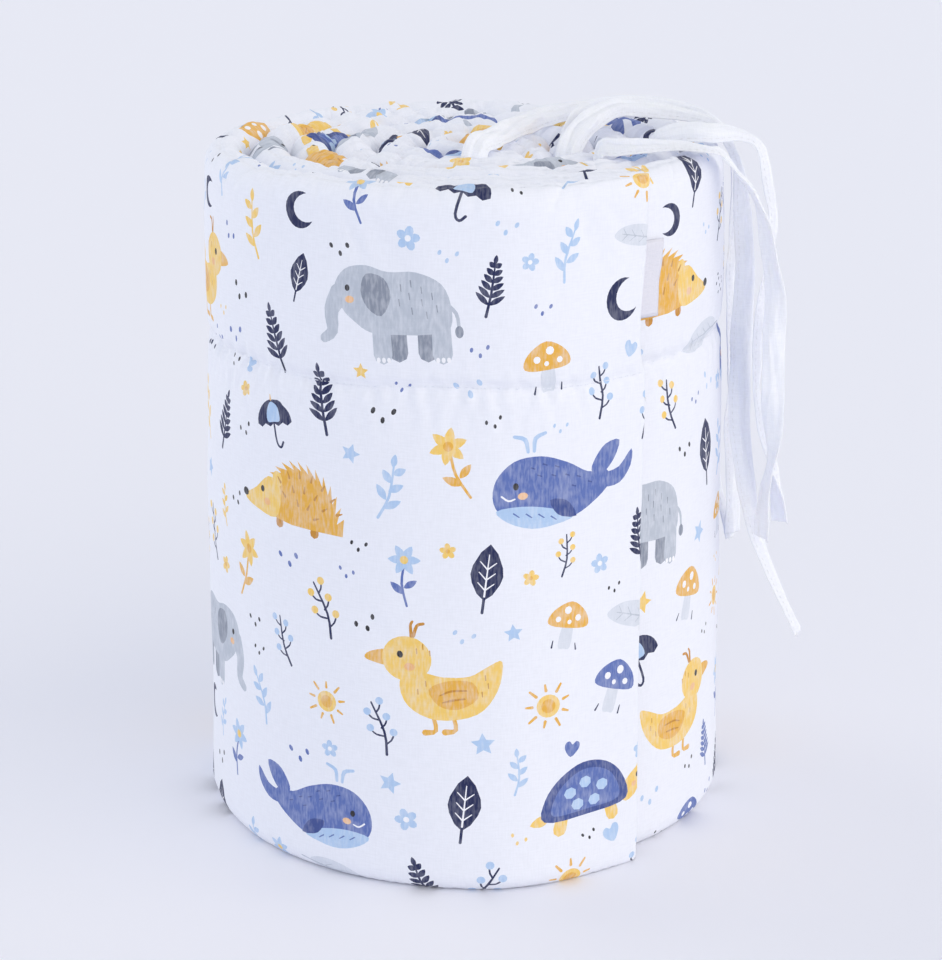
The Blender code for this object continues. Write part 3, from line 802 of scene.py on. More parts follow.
# The cells of the cloth that a motif has taken
CELL = 0.0012
SPARE_CELLS = 50
taken = np.zeros((int(CLOTH_LENGTH / CELL) + 2 * SPARE_CELLS,
                  int(CLOTH_HEIGHT / CELL) + 2 * SPARE_CELLS), dtype=bool)
motifs = []
# In millimetres, as the motifs are
SMALLEST_BEND = 0.09


def pared(outline):
    """An outline without the points that lie almost on the line between their neighbours."""
    kept = [outline[0]]
    for point, after in zip(outline[1:], outline[2:] + outline[:1]):
        way = (after[0] - kept[-1][0], after[1] - kept[-1][1])
        off = abs(way[0] * (point[1] - kept[-1][1]) - way[1] * (point[0] - kept[-1][0]))
        if off > SMALLEST_BEND * math.hypot(*way):
            kept.append(point)
    return kept


def plan(shapes):
    """A motif's shapes as inks, one array of points, and where each shape starts in it."""
    shapes = [(ink, pared(shape)) for ink, shape in shapes]
    starts = np.cumsum([0] + [len(shape) for _, shape in shapes])[:-1]
    points = np.array([point for _, shape in shapes for point in shape]) / 1000.0
    return [ink for ink, _ in shapes], points, starts


def set_motif(planned, along, up, turn, size, flipped, margin):
    """Adds a motif if its place is free. The margin is in metres, and None sets it in any case."""
    inks, points, starts = planned
    turn, mirror = math.radians(turn), -1.0 if flipped else 1.0
    to_x = np.array((math.cos(turn), math.sin(turn))) * size * mirror
    to_y = np.array((-math.sin(turn), math.cos(turn))) * size
    placed = points[:, :1] * to_x + points[:, 1:] * to_y + (along, up)
    room = margin or 0.0
    low = ((np.minimum.reduceat(placed, starts) - room) / CELL).astype(int) + SPARE_CELLS
    high = ((np.maximum.reduceat(placed, starts) + room) / CELL).astype(int) + SPARE_CELLS + 1
    cells = [(slice(left, right), slice(bottom, top)) for (left, bottom), (right, top) in zip(low, high)]
    if margin is not None and any(taken[cell].any() for cell in cells):
        return
    for cell in cells:
        taken[cell] = True
    parts = np.split(placed, starts[1:])
    motifs.append([(ink, [tuple(point) for point in part]) for ink, part in zip(inks, parts)])


def scatter(choice, tries, margin, scale, from_along, to_along, from_up, to_up):
    """Sets motifs wherever they find room in one stretch of the cloth."""
    kinds, weights = [plan(kind) for kind, _ in choice], [weight for _, weight in choice]
    for kind in random.choices(kinds, weights, k=tries):
        set_motif(kind, random.uniform(from_along, to_along), random.uniform(from_up, to_up),
                  random.uniform(-24, 24), scale * random.uniform(0.88, 1.1), random.random() < 0.5, margin)


for animal, distance, height, turn, size, flipped in by_hand:
    place = before_end(distance / 1000.0)
    set_motif(plan(animal()), place, up_wall(height / 1000.0), turn, size, flipped, None)

random.seed(77)
TURN_CLEAR = 0.012
WALL_BOTTOM = 0.004
BAND_HALF = 0.026
TOP_BAND = (0.0, WALL_FROM - TURN_CLEAR, CREST - BAND_HALF, CREST + BAND_HALF)
WALL = (WALL_FROM + TURN_CLEAR, CLOTH_LENGTH, WALL_BOTTOM, BAND_END)
scatter(ANIMALS, 300, 0.006, 0.76, *TOP_BAND)
for choice, tries, margin, scale in (
    (MEDIUM, 2500, 0.0040, 0.92), (MEDIUM, 3500, 0.0030, 0.86), (SMALL, 1500, 0.0032, 0.95),
    (MEDIUM, 4000, 0.0020, 0.72), (SMALL, 4500, 0.0022, 0.82), (SMALL, 5500, 0.0016, 0.66),
):
    scatter(choice, 3 * tries, margin * 0.7, scale, *TOP_BAND)
    scatter(choice, tries, margin, scale, *WALL)


# The flat cloth: rows of points, close where the cloth shows and far apart where the turns hide it
WALL_STEP = 0.0052
WALL_STAGGER = 0.0021
SIDE_STEP = 0.0050
SEAM_STEP = 0.0022
SEAM_ROW_STEP = 0.0021
SEAM_STAGGER = 0.0009
SEAM_ROWS_BELOW = 0.016
SEAM_ROWS_ABOVE = 0.0161
FOLD_STEP = 0.0022
FOLD_END_ANGLE = 195.0
HIDDEN_ANGLE_STEP = 12.0
BAND_STEP = 0.0028
FINE_REACH = 0.0146
FOOT_ROWS = 0.016
END_STRIP = 0.013
END_COLUMNS = (0.012, 0.009, 0.0066, 0.0048, 0.0034, 0.0022, 0.0013, 0.0006, 0.0)
WALL_ROWS_FROM = 0.012
TURN_GAP = 0.003
RIM_GAP = 0.002
TOP_ROWS_FROM = 0.0016
TOP_STAGGER = 0.48
HAIR = 1e-6
# Bands of rows at the top edge: start and end, steps up and along, and how often a row goes on over the
# hidden turns
TOP_ROWS = (
    (BAND_START, CREST - FINE_REACH, 0.0028, 0.0034, 3),
    (CREST - FINE_REACH, CREST + FINE_REACH, 0.0017, 0.0019, 1),
    (CREST + FINE_REACH, BAND_END + HAIR, 0.0030, 0.0036, 3),
)


def steps_between(start, stop, step):
    """Even places from start on, without stop itself."""
    count = max(1, round((stop - start) / step))
    return [start + (stop - start) * index / count for index in range(count)]


fold_end = angle_place(FOLD_END_ANGLE)
hidden = [angle_place(angle) for angle in np.arange(FOLD_END_ANGLE, WALL_FROM_ANGLE, HIDDEN_ANGLE_STEP)]
edge_along = steps_between(0.0, fold_end, FOLD_STEP) + [place for place in hidden if place > fold_end]
edge_along = [place for place in edge_along if place < WALL_FROM - TURN_GAP]
edge_along += steps_between(WALL_FROM, before_end(END_COLUMNS[0]), WALL_STEP)
edge_along += [before_end(distance) for distance in END_COLUMNS]
side_up = [0.0] + [float(place) for place in outline_round[1:ROUNDING_STEPS + 1:3]]
side_up += steps_between(up_wall(WALL_ROWS_FROM), BAND_START, SIDE_STEP)
side_up += steps_between(BAND_START, CREST, BAND_STEP)
column_up = side_up + [CREST] + [CLOTH_HEIGHT - place for place in reversed(side_up)]

seam_up = up_wall(SEAM_HEIGHT)
points = []
for number, up in enumerate(side_up[1:], start=1):
    if up >= BAND_START - HAIR:
        continue
    if abs(up - seam_up) >= SEAM_ROWS_BELOW:
        stagger = WALL_STAGGER * (number % 2)
        points += [(along + stagger, up) for along in edge_along if WALL_FROM < along < before_end(END_STRIP)]
        points += [(along, up) for along in edge_along if before_end(END_STRIP) < along < CLOTH_LENGTH]
    if number % 8 == 0 or up < FOOT_ROWS:
        points += [(along, up) for along in edge_along if 0.0 < along < WALL_FROM + HAIR]
        points += [(along, CLOTH_HEIGHT - up) for along in edge_along if 0.0 < along < CLOTH_LENGTH]
for row, up in enumerate(steps_between(seam_up - SEAM_ROWS_BELOW, seam_up + SEAM_ROWS_ABOVE, SEAM_ROW_STEP)):
    points += [(along + SEAM_STAGGER * (row % 2), up)
               for along in steps_between(WALL_FROM + RIM_GAP, before_end(RIM_GAP), SEAM_STEP)]
for from_up, to_up, row_step, step, hidden_rows in TOP_ROWS:
    for row, up in enumerate(steps_between(from_up, to_up, row_step)):
        from_along = WALL_FROM if row % hidden_rows else TOP_ROWS_FROM
        points += [(along + step * TOP_STAGGER * (row % 2), up)
                   for along in steps_between(from_along, before_end(RIM_GAP), step)]
rim = [(along, 0.0) for along in edge_along]
rim += [(CLOTH_LENGTH, up) for up in column_up[1:]]
rim += [(along, CLOTH_HEIGHT) for along in reversed(edge_along[:-1])]
rim += [(0.0, up) for up in reversed(column_up[1:-1])]


# The cloth is cut along the outlines of the motifs, so each face takes the ink that lies on top there.
def clipped(points, axis, limit, sign):
    """The part of an outline on one side of a line along the cloth or round it."""
    kept = []
    for index, point in enumerate(points):
        other = points[(index + 1) % len(points)]
        here, there = sign * (point[axis] - limit), sign * (other[axis] - limit)
        if here >= 0.0:
            kept.append(point)
        if (here > 0.0) != (there > 0.0) and here != there:
            share = here / (here - there)
            kept.append(tuple(p + (o - p) * share for p, o in zip(point, other)))
    return kept


def area_of(outline):
    """An outline's area, which is below zero if it runs clockwise."""
    return sum(a[0] * b[1] - b[0] * a[1] for a, b in zip(outline, outline[1:] + outline[:1])) / 2.0


def inside(places, outline):
    """Which places lie inside an outline."""
    odd = np.zeros(len(places), dtype=bool)
    for (from_along, from_up), (to_along, to_up) in zip(outline, outline[1:] + outline[:1]):
        if from_up != to_up:
            crossed = (places[:, 1] - from_up) / (to_up - from_up)
            odd ^= ((places[:, 1] < from_up) != (places[:, 1] < to_up)) & (
                places[:, 0] < from_along + (to_along - from_along) * crossed)
    return odd


EDGE = 0.0006
SMALLEST_AREA = 2e-8
flat = rim + points
outlines, outline_inks, faces = [None], [None], [list(range(len(rim)))]
for motif in motifs:
    motif_along = [point[0] for _, shape in motif for point in shape]
    on_wall = sum(motif_along) / len(motif_along) > WALL_FROM
    limits = (
        (0, (WALL_FROM if on_wall else 0.0) + EDGE, 1),
        (0, (CLOTH_LENGTH if on_wall else WALL_FROM) - EDGE, -1),
        (1, EDGE if on_wall else BAND_START, 1),
        (1, BAND_END, -1),
    )
    for ink, shape in motif:
        for limit in limits:
            shape = clipped(shape, *limit)
        area = area_of(shape)
        if abs(area) < SMALLEST_AREA:
            continue
        shape = shape if area > 0.0 else shape[::-1]
        outlines.append(shape)
        outline_inks.append(ink)
        faces.append(list(range(len(flat), len(flat) + len(shape))))
        flat += shape
cut = delaunay_2d_cdt([Vector(point) for point in flat], [], faces, 0, 1e-6, True)
cloth = np.array([tuple(point) for point in cut[0]])
laid = [(face, sources) for face, sources in zip(cut[2], cut[5]) if 0 in sources and len(face) == 3]
triangles = np.array([face for face, _ in laid])
corner_place = cloth[triangles.ravel()]
first, second, third = cloth[triangles].swapaxes(0, 1)
middles = (first + second + third) / 3.0
sizes = np.abs(np.cross(second - first, third - first)) / 2.0
filled = np.bincount([source for _, sources in laid for source in sources],
                     np.repeat(sizes, [len(sources) for _, sources in laid]), len(faces))
# An outline that the cut leaves open would flood the cloth, so it is filled by a test of its own.
open_outlines = [number for number in range(1, len(faces))
                 if filled[number] > 1.5 * area_of(outlines[number])]
covering = np.array([max(set(sources).difference(open_outlines)) for _, sources in laid])
for number in open_outlines:
    covering[inside(middles, outlines[number]) & (covering < number)] = number
inks = [outline_inks[number] for number in covering]

# The two long edges meet at the foot, and the two short ends are closed.
along, up = cloth[:, 0], cloth[:, 1]
low = np.nonzero(np.abs(up) < 1e-7)[0]
high = np.nonzero(np.abs(up - CLOTH_HEIGHT) < 1e-7)[0]
low, high = low[np.argsort(along[low])], high[np.argsort(along[high])]
merged = np.arange(len(cloth))
merged[high] = low
ends = []
for limit, order in ((0.0, 1), (CLOTH_LENGTH, -1)):
    column = np.nonzero(np.abs(along - limit) < 1e-7)[0]
    column = column[np.argsort(up[column])]
    count = len(column)
    for step in range(count // 2):
        a, b, c, d = column[step], column[step + 1], column[count - 2 - step], column[count - 1 - step]
        for triangle in ((a, b, c), (a, c, d)):
            if len({merged[corner] for corner in triangle}) == 3:
                ends.append(triangle[::order])
ends = np.array(ends)
triangles = np.concatenate([triangles, ends])
corner_place = np.concatenate([corner_place, cloth[ends.ravel()]])
inks += [None] * len(ends)

place = wound(along, up)
NUDGE = 0.0004
right = wound(np.minimum(along + NUDGE, CLOTH_LENGTH), up) - wound(np.maximum(along - NUDGE, 0.0), up)
rise = wound(along, np.minimum(up + NUDGE, CLOTH_HEIGHT)) - wound(along, np.maximum(up - NUDGE, 0.0))
normal = np.cross(right, rise)
normal /= np.maximum(np.linalg.norm(normal, axis=1), 1e-12)[:, None]
normal[low] = (0.0, 0.0, -1.0)

used, triangles = np.unique(merged[triangles], return_inverse=True)
triangles = triangles.reshape(-1, 3)
pad_data = bpy.data.meshes.new("pad_cover")
pad_data.from_pydata(place[used].tolist(), [], triangles.tolist())
pad_data.shade_smooth()
colours = np.array([GROUND if ink is None else INKS[ink] for ink in inks], dtype=np.float32)
print_layer = pad_data.color_attributes.new("print", "FLOAT_COLOR", "CORNER")
print_layer.data.foreach_set("color", np.repeat(colours, 3, axis=0).ravel())
cloth_layer = pad_data.uv_layers.new(name="cloth")
cloth_layer.data.foreach_set("uv", corner_place.astype(np.float32).ravel())
pad_data.normals_split_custom_set_from_vertices(normal[used].tolist())
pad = put("pad_cover", pad_data)


# Threads to the metre, and how slowly they change along their own way
COTTON_THREADS = 1500.0
THREAD_STRETCH = 0.12


def mixed(wire, share, first, second, blend="MIX"):
    """A colour mix. The sockets of a Mix node's colours are found by their places."""
    return wire.node("ShaderNodeMix", {"data_type": "RGBA", "blend_type": blend},
                     {0: share, 6: first, 7: second}, output=2)


def stretched(wire, place, stretch):
    """A place on the cloth, drawn out or pressed together."""
    return wire.node("ShaderNodeVectorMath", {"operation": "MULTIPLY"}, {0: place, 1: stretch})


def cloudy(wire, place, scale, detail):
    """Uneven patches over the cloth, from 0 to 1."""
    return wire.node("ShaderNodeTexNoise", {"noise_dimensions": "2D"},
                     {"Vector": place, "Scale": scale, "Detail": detail})


def woven(wire, threads):
    """A piece's flat layout, and a plain weave on it as a height from 0 to 1: uneven threads both ways."""
    flat_place = wire.node("ShaderNodeUVMap", {"uv_map": "cloth"})
    slow = threads * THREAD_STRETCH
    ways = ((threads, slow, 1.0), (slow, threads, 1.0))
    warp, weft = [cloudy(wire, stretched(wire, flat_place, way), 1.0, 1.5) for way in ways]
    return flat_place, (warp + weft) * 0.5


def threaded(wire, colour, weave, darkest):
    """A colour that the weave makes a little darker and lighter."""
    tone = wire.node("ShaderNodeMapRange", {}, {"Value": weave, "From Min": 0.35, "From Max": 0.65,
                                                "To Min": darkest, "To Max": 1.015})
    tone = wire.node("ShaderNodeCombineXYZ", {}, {0: tone, 1: tone, 2: tone})
    return mixed(wire, 1.0, colour, tone, "MULTIPLY")


def bumped(wire, height, strength, distance):
    """A surface that a height roughens."""
    return wire.node("ShaderNodeBump", {}, {"Strength": strength, "Distance": distance, "Height": height})


cotton, wire, shader = new_material("printed_cotton", 0.86, Specular_IOR_Level=0.22, Sheen_Weight=0.12,
                                    Sheen_Roughness=0.5)
flat_place, weave = woven(wire, COTTON_THREADS)
ink_colour = wire.node("ShaderNodeAttribute", {"attribute_name": "print"}, output="Color")
ink_dryness = wire.node("ShaderNodeAttribute", {"attribute_name": "print"}, output="Alpha")
# The inks lie unevenly, as if brushed: paler dry patches and fine upright streaks
streaks = cloudy(wire, stretched(wire, flat_place, (900.0, 210.0, 1.0)), 1.0, 2.0)
patches = cloudy(wire, flat_place, 130.0, 3.0)
dry = wire.node("ShaderNodeMapRange", {}, {"Value": streaks * 0.55 + patches * 0.45, "From Min": 0.42,
                                           "From Max": 0.68, "To Min": 0.0, "To Max": 0.32})
paler = mixed(wire, dry * ink_dryness, ink_colour, GROUND[:3] + (1.0,))
fine = cloudy(wire, flat_place, 95.0, 2.0)
feed(shader, Base_Color=threaded(wire, paler, weave, 0.975),
     Normal=bumped(wire, weave * 0.15 + fine * 0.85, 0.35, 0.0006))
pad_data.materials.append(cotton)

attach(pad, "root")
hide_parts("bumper_roll")


# --- The sewn line --------------------------------------------------------------------------------------
# One line of lockstitch in white thread goes through the pad along its whole length and holds the filling.
# Each stitch lies in the bottom of the channel that it pulls, a little askew.
def stitch_tree():
    """A node tree that lays short threads along a line of points."""
    tree = bpy.data.node_groups.new("stitches", "GeometryNodeTree")
    sockets = {}
    for name, kind, direction in (
        ("Line", "NodeSocketGeometry", "INPUT"), ("Pitch", "NodeSocketFloat", "INPUT"),
        ("Stitch length", "NodeSocketFloat", "INPUT"), ("Thread width", "NodeSocketFloat", "INPUT"),
        ("Thread", "NodeSocketMaterial", "INPUT"), ("Stitches", "NodeSocketGeometry", "OUTPUT"),
    ):
        sockets[name] = tree.interface.new_socket(name, in_out=direction, socket_type=kind).identifier
    given = tree.nodes.new("NodeGroupInput")
    wires = {socket.name: Wire(tree, socket) for socket in given.outputs}
    start = wires["Line"]
    route = start.node("GeometryNodeMeshToCurve", {}, {"Mesh": start})
    evenly = start.node("GeometryNodeResampleCurve", {"mode": "LENGTH"},
                        {"Curve": route, "Length": wires["Pitch"]})
    bead = start.node("GeometryNodeMeshUVSphere", {}, {"Segments": 6, "Rings": 5, "Radius": 0.5})
    heading = start.node("GeometryNodeInputTangent")
    askew = start.node("FunctionNodeRandomValue", {"data_type": "FLOAT_VECTOR"},
                       {0: (-0.14, -0.14, -0.05), 1: (0.14, 0.14, 0.05), "Seed": 5})
    heading = start.node("ShaderNodeVectorMath", {"operation": "ADD"}, {0: heading, 1: askew})
    rotation = start.node("FunctionNodeAlignRotationToVector", {"axis": "Z"}, {"Vector": heading})
    uneven = start.node("FunctionNodeRandomValue", {"data_type": "FLOAT"},
                        {2: 0.86, 3: 1.08, "Seed": 9}, output=1)
    width = wires["Thread width"]
    size = start.node("ShaderNodeCombineXYZ", {}, {0: width, 1: width, 2: wires["Stitch length"] * uneven})
    laid = start.node("GeometryNodeInstanceOnPoints", {},
                      {"Points": evenly, "Instance": bead, "Rotation": rotation, "Scale": size})
    made = start.node("GeometryNodeRealizeInstances", {}, {"Geometry": laid})
    made = start.node("GeometryNodeSetShadeSmooth", {}, {"Geometry": made})
    made = start.node("GeometryNodeSetMaterial", {}, {"Geometry": made, "Material": wires["Thread"]})
    tree.links.new(made.socket, tree.nodes.new("NodeGroupOutput").inputs["Stitches"])
    return tree, sockets


def stitches(name, line, pitch, length, width, thread):
    """One plain mesh of stitches along a line of points."""
    data = bpy.data.meshes.new(name)
    data.from_pydata([tuple(point) for point in line], [(end - 1, end) for end in range(1, len(line))], [])
    piece = put(name, data)
    modifier = piece.modifiers.new("stitches", "NODES")
    modifier.node_group = STITCH_TREE
    settings = {"Pitch": pitch, "Stitch length": length, "Thread width": width, "Thread": thread}
    for socket, value in settings.items():
        modifier[STITCH_SOCKETS[socket]] = value
    graph = bpy.context.evaluated_depsgraph_get()
    plain = bpy.data.meshes.new_from_object(piece.evaluated_get(graph), depsgraph=graph)
    plain.name = name
    piece.modifiers.clear()
    piece.data = plain
    return piece


STITCH_TREE, STITCH_SOCKETS = stitch_tree()
white_thread, wire, shader = new_material("white_thread", 0.7, Sheen_Weight=0.1)
thread_place = wire.node("ShaderNodeTexCoord", output="Object")
twist = wire.node("ShaderNodeTexWave", {"bands_direction": "DIAGONAL"},
                  {"Vector": thread_place, "Scale": 420.0, "Distortion": 1.5})
ply = mixed(wire, twist * 0.5, light_of(236, 238, 247), light_of(208, 211, 224))
feed(shader, Base_Color=ply, Normal=bumped(wire, twist, 0.4, 0.0001))

SEAM_PITCH = 0.0034
SEAM_STITCH = 0.0026
SEAM_THREAD = 0.00042
SEAM_LIFT = 0.00008
seam_along = np.arange(WALL_FROM + 0.004, before_end(0.003), 0.0015)
seam_line = wound(seam_along, seam_round(seam_along), SEAM_LIFT)
sewn_line = stitches("sewn_line", seam_line, SEAM_PITCH, SEAM_STITCH, SEAM_THREAD, white_thread)
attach(sewn_line, "root")


# --- The ties -------------------------------------------------------------------------------------------
# Five soft cotton tapes, folded double and stitched along the open edge. Their roots are caught in the top
# edge's seam. They lie over the turns and hang down at the right, creased along their length, ends cut bare.
TAPE_WIDTH = 0.011
TAPE_THICKNESS = 0.0009
TAPE_STEP = 0.0016
ROOT_DEPTH = 0.009
ROOT_LEAN = 0.45
# Each tie's route from its root to its end: x, y, z, and the way that its width points, as bearing and rise
TIES = {
    "tie_1a": (
        (0.0395, -0.0250, 0.2984, 165, 40), (0.0425, -0.0120, 0.3046, 160, 42),
        (0.0465, 0.0020, 0.3078, 145, 46), (0.0540, 0.0140, 0.3093, 126, 42),
        (0.0650, 0.0230, 0.3101, 108, 40), (0.0780, 0.0270, 0.3098, 94, 36),
        (0.0900, 0.0260, 0.3083, 86, 28), (0.1010, 0.0220, 0.3052, 80, 18),
        (0.1095, 0.0180, 0.2990, 78, 8), (0.1131, 0.0178, 0.2908, 74, 0),
        (0.1147, 0.0180, 0.2774, 70, 0), (0.1148, 0.0185, 0.2615, 70, 0),
        (0.1148, 0.0192, 0.2432, 68, 0), (0.1147, 0.0198, 0.2247, 66, 0),
        (0.1147, 0.0202, 0.2083, 74, 0), (0.1149, 0.0202, 0.1952, 84, 0),
        (0.1156, 0.0198, 0.1803, 78, 0), (0.1165, 0.0190, 0.1639, 62, 0),
        (0.1179, 0.0182, 0.1473, 50, 0), (0.1187, 0.0168, 0.1299, 46, 0),
        (0.1187, 0.0158, 0.1132, 47, 0),
    ),
    "tie_1b": (
        (0.0402, -0.0333, 0.3017, 150, 40), (0.0458, -0.0190, 0.3068, 148, 42),
        (0.0517, -0.0030, 0.3085, 138, 44), (0.0608, 0.0085, 0.3108, 118, 40),
        (0.0722, 0.0135, 0.3097, 102, 34), (0.0826, 0.0140, 0.3083, 92, 28),
        (0.0923, 0.0124, 0.3070, 84, 22), (0.1005, 0.0092, 0.3052, 80, 14),
        (0.1065, 0.0040, 0.3012, 78, 6), (0.1112, -0.0005, 0.2940, 70, 0),
        (0.1143, -0.0032, 0.2853, 58, 0), (0.1159, -0.0052, 0.2707, 36, 0),
        (0.1173, -0.0062, 0.2576, 27, 0), (0.1181, -0.0070, 0.2444, 24, 0),
        (0.1181, -0.0076, 0.2324, 22, 0), (0.1176, -0.0082, 0.2199, 22, 0),
        (0.1174, -0.0090, 0.2056, 20, 0), (0.1173, -0.0100, 0.1907, 17, 0),
        (0.1175, -0.0120, 0.1740, 20, 0), (0.1200, -0.0145, 0.1520, 32, 0),
        (0.1239, -0.0180, 0.1300, 50, 0), (0.1295, -0.0205, 0.1136, 64, 0),
        (0.1366, -0.0225, 0.0976, 71, 0), (0.1451, -0.0245, 0.0791, 72, 0),
    ),
    "tie_2a": (
        (0.0522, -0.0492, 0.3028, 92, 36), (0.0581, -0.0500, 0.3035, 92, 32),
        (0.0656, -0.0492, 0.3039, 92, 27), (0.0746, -0.0462, 0.3039, 91, 21),
        (0.0839, -0.0444, 0.3036, 90, 15), (0.0927, -0.0443, 0.3027, 88, 5),
        (0.1000, -0.0435, 0.3013, 84, 2), (0.1041, -0.0412, 0.2988, 81, 4),
        (0.1099, -0.0382, 0.2916, 86, 0), (0.1154, -0.0362, 0.2844, 93, 0),
        (0.1193, -0.0354, 0.2766, 103, 0), (0.1222, -0.0348, 0.2692, 116, 0),
        (0.1245, -0.0342, 0.2600, 122, 0), (0.1264, -0.0337, 0.2507, 125, 0),
        (0.1280, -0.0333, 0.2415, 131, 0), (0.1288, -0.0330, 0.2326, 150, 0),
        (0.1288, -0.0327, 0.2215, 176, 0), (0.1290, -0.0324, 0.2089, 184, 0),
        (0.1292, -0.0321, 0.1968, 177, 0), (0.1295, -0.0318, 0.1863, 158, 0),
        (0.1299, -0.0315, 0.1762, 130, 0), (0.1300, -0.0311, 0.1670, 106, 0),
        (0.1292, -0.0306, 0.1586, 98, 0), (0.1279, -0.0301, 0.1501, 104, 0),
        (0.1273, -0.0296, 0.1411, 110, 0), (0.1269, -0.0292, 0.1326, 114, 0),
        (0.1266, -0.0289, 0.1255, 116, 0),
    ),
    "tie_2b": (
        (0.0776, -0.0222, 0.3014, 104, 36), (0.0804, -0.0228, 0.3034, 102, 38),
        (0.0847, -0.0226, 0.3049, 100, 42), (0.0898, -0.0230, 0.3056, 98, 44),
        (0.0948, -0.0230, 0.3057, 95, 45), (0.0997, -0.0217, 0.3050, 92, 42),
        (0.1046, -0.0187, 0.3046, 90, 34), (0.1102, -0.0150, 0.3036, 88, 20),
        (0.1167, -0.0122, 0.3009, 86, 8), (0.1209, -0.0124, 0.2973, 76, 0),
        (0.1234, -0.0128, 0.2918, 64, 0), (0.1251, -0.0132, 0.2849, 66, 0),
        (0.1265, -0.0138, 0.2776, 72, 0), (0.1273, -0.0146, 0.2695, 77, 0),
        (0.1273, -0.0154, 0.2595, 80, 0), (0.1261, -0.0160, 0.2499, 79, 0),
        (0.1246, -0.0164, 0.2412, 76, 0), (0.1238, -0.0167, 0.2319, 70, 0),
        (0.1230, -0.0168, 0.2220, 70, 0), (0.1226, -0.0169, 0.2121, 77, 0),
        (0.1227, -0.0170, 0.2018, 80, 0), (0.1232, -0.0171, 0.1913, 74, 0),
        (0.1249, -0.0173, 0.1822, 64, 0), (0.1272, -0.0176, 0.1735, 56, 0),
        (0.1296, -0.0179, 0.1649, 64, 0), (0.1313, -0.0183, 0.1566, 80, 0),
        (0.1329, -0.0187, 0.1484, 100, 0), (0.1345, -0.0191, 0.1401, 118, 0),
        (0.1362, -0.0195, 0.1298, 130, 0),
    ),
    "tie_3": (
        (0.0010, -0.0480, 0.3044, 163, 40), (0.0070, -0.0320, 0.3045, 160, 40),
        (0.0140, -0.0140, 0.3046, 158, 40), (0.0220, 0.0060, 0.3046, 155, 42),
        (0.0310, 0.0250, 0.3046, 150, 42), (0.0430, 0.0420, 0.3044, 140, 40),
        (0.0570, 0.0560, 0.3040, 135, 34), (0.0710, 0.0655, 0.3028, 130, 22),
        (0.0830, 0.0710, 0.3000, 130, 10), (0.0915, 0.0740, 0.2935, 130, 0),
        (0.0965, 0.0755, 0.2830, 130, 0), (0.0985, 0.0750, 0.2650, 128, 0),
        (0.0995, 0.0735, 0.2420, 124, 0), (0.1005, 0.0700, 0.2180, 120, 0),
        (0.1020, 0.0640, 0.1950, 116, 0), (0.1045, 0.0560, 0.1730, 108, 0),
        (0.1084, 0.0460, 0.1520, 98, 0), (0.1127, 0.0365, 0.1310, 86, 0),
        (0.1158, 0.0305, 0.1191, 74, 0), (0.1188, 0.0260, 0.1068, 66, 0),
    ),
}


def tie_route(rows):
    """Close points on a smooth curve through the rows, and the way that the tape's width points at each."""
    rows = np.array(rows)
    stops = rows[:, :3]
    bearing, rise = np.radians(rows[:, 3]), np.radians(rows[:, 4])
    widths = np.stack([np.cos(rise) * np.cos(bearing), np.cos(rise) * np.sin(bearing), np.sin(rise)], axis=1)
    # The root goes down into the seam that it is sewn in.
    root = stops[0] - ROOT_LEAN * (stops[1] - stops[0])
    root[2] = stops[0][2] - ROOT_DEPTH
    both = np.column_stack([np.vstack([root, stops]), np.vstack([widths[:1], widths])])
    route = []
    for index in range(len(both) - 1):
        before, start = both[max(index - 1, 0)], both[index]
        stop, after = both[index + 1], both[min(index + 2, len(both) - 1)]
        pieces = max(3, round(float(np.linalg.norm(stop[:3] - start[:3])) / TAPE_STEP))
        for piece in range(pieces):
            t = piece / pieces
            bend = 2 * before - 5 * start + 4 * stop - after
            swing = 3 * start - before - 3 * stop + after
            route.append(start + t * ((stop - before) + t * (bend + t * swing)) / 2.0)
    route.append(both[-1])
    route = np.array(route)
    return route[:, :3], route[:, 3:]


# The lengthwise folds: place along the tape from its root in metres, where the fold lies across it from -1
# to 1, and how far each side is turned there, in degrees. A minus folds it the other way.
FOLDS = {
    "tie_1a": ((0.0, 0.3, 8), (0.030, 0.5, 14), (0.080, 0.3, 16), (0.120, -0.2, 14), (0.200, 0.1, 10),
               (0.306, 0.0, 8)),
    "tie_1b": ((0.0, -0.3, 8), (0.030, -0.3, 16), (0.080, -0.2, 18), (0.110, -0.4, 18), (0.128, -0.6, 26),
               (0.152, -0.1, 28), (0.176, 0.6, 22), (0.200, 0.8, 8), (0.230, -0.3, 14), (0.262, -0.1, 14),
               (0.300, 0.3, 10), (0.343, 0.2, 12)),
    "tie_2a": ((0.0, 0.4, -8), (0.030, 0.4, -14), (0.062, 0.2, -16), (0.090, 0.3, 8), (0.112, 0.3, 16),
               (0.130, 0.0, -6), (0.142, -0.1, -24), (0.179, -0.1, -24), (0.198, 0.0, -10), (0.244, 0.0, 8)),
    "tie_2b": ((0.0, 0.3, 8), (0.028, 0.4, 14), (0.047, 0.3, 22), (0.060, 0.1, 28), (0.085, 0.0, 18),
               (0.120, 0.1, 20), (0.170, 0.0, 14), (0.200, -0.2, 18), (0.229, -0.1, 10)),
    "tie_3": ((0.0, 0.5, 8), (0.060, 0.5, 16), (0.120, 0.3, 14), (0.200, 0.0, 6), (0.350, 0.0, 10),
              (0.372, 0.0, 14)),
}
FOLD_SHARPNESS = 0.10
FOLD_SHARES = np.linspace(-1.0, 1.0, 41)
# Points across each layer of a tape, and where its stitches run across it, from -1 to 1
TAPE_SIDES = 27
STITCH_SHARE = 0.74
STITCHED_FROM = 0.012
# How thick it is at its edges, what is added towards its middle, and how plump the folded edge is
TAPE_EDGE = 0.42
TAPE_BODY = 0.58
TAPE_PLUMPNESS = 0.35
TAPE_NARROWING = 0.06
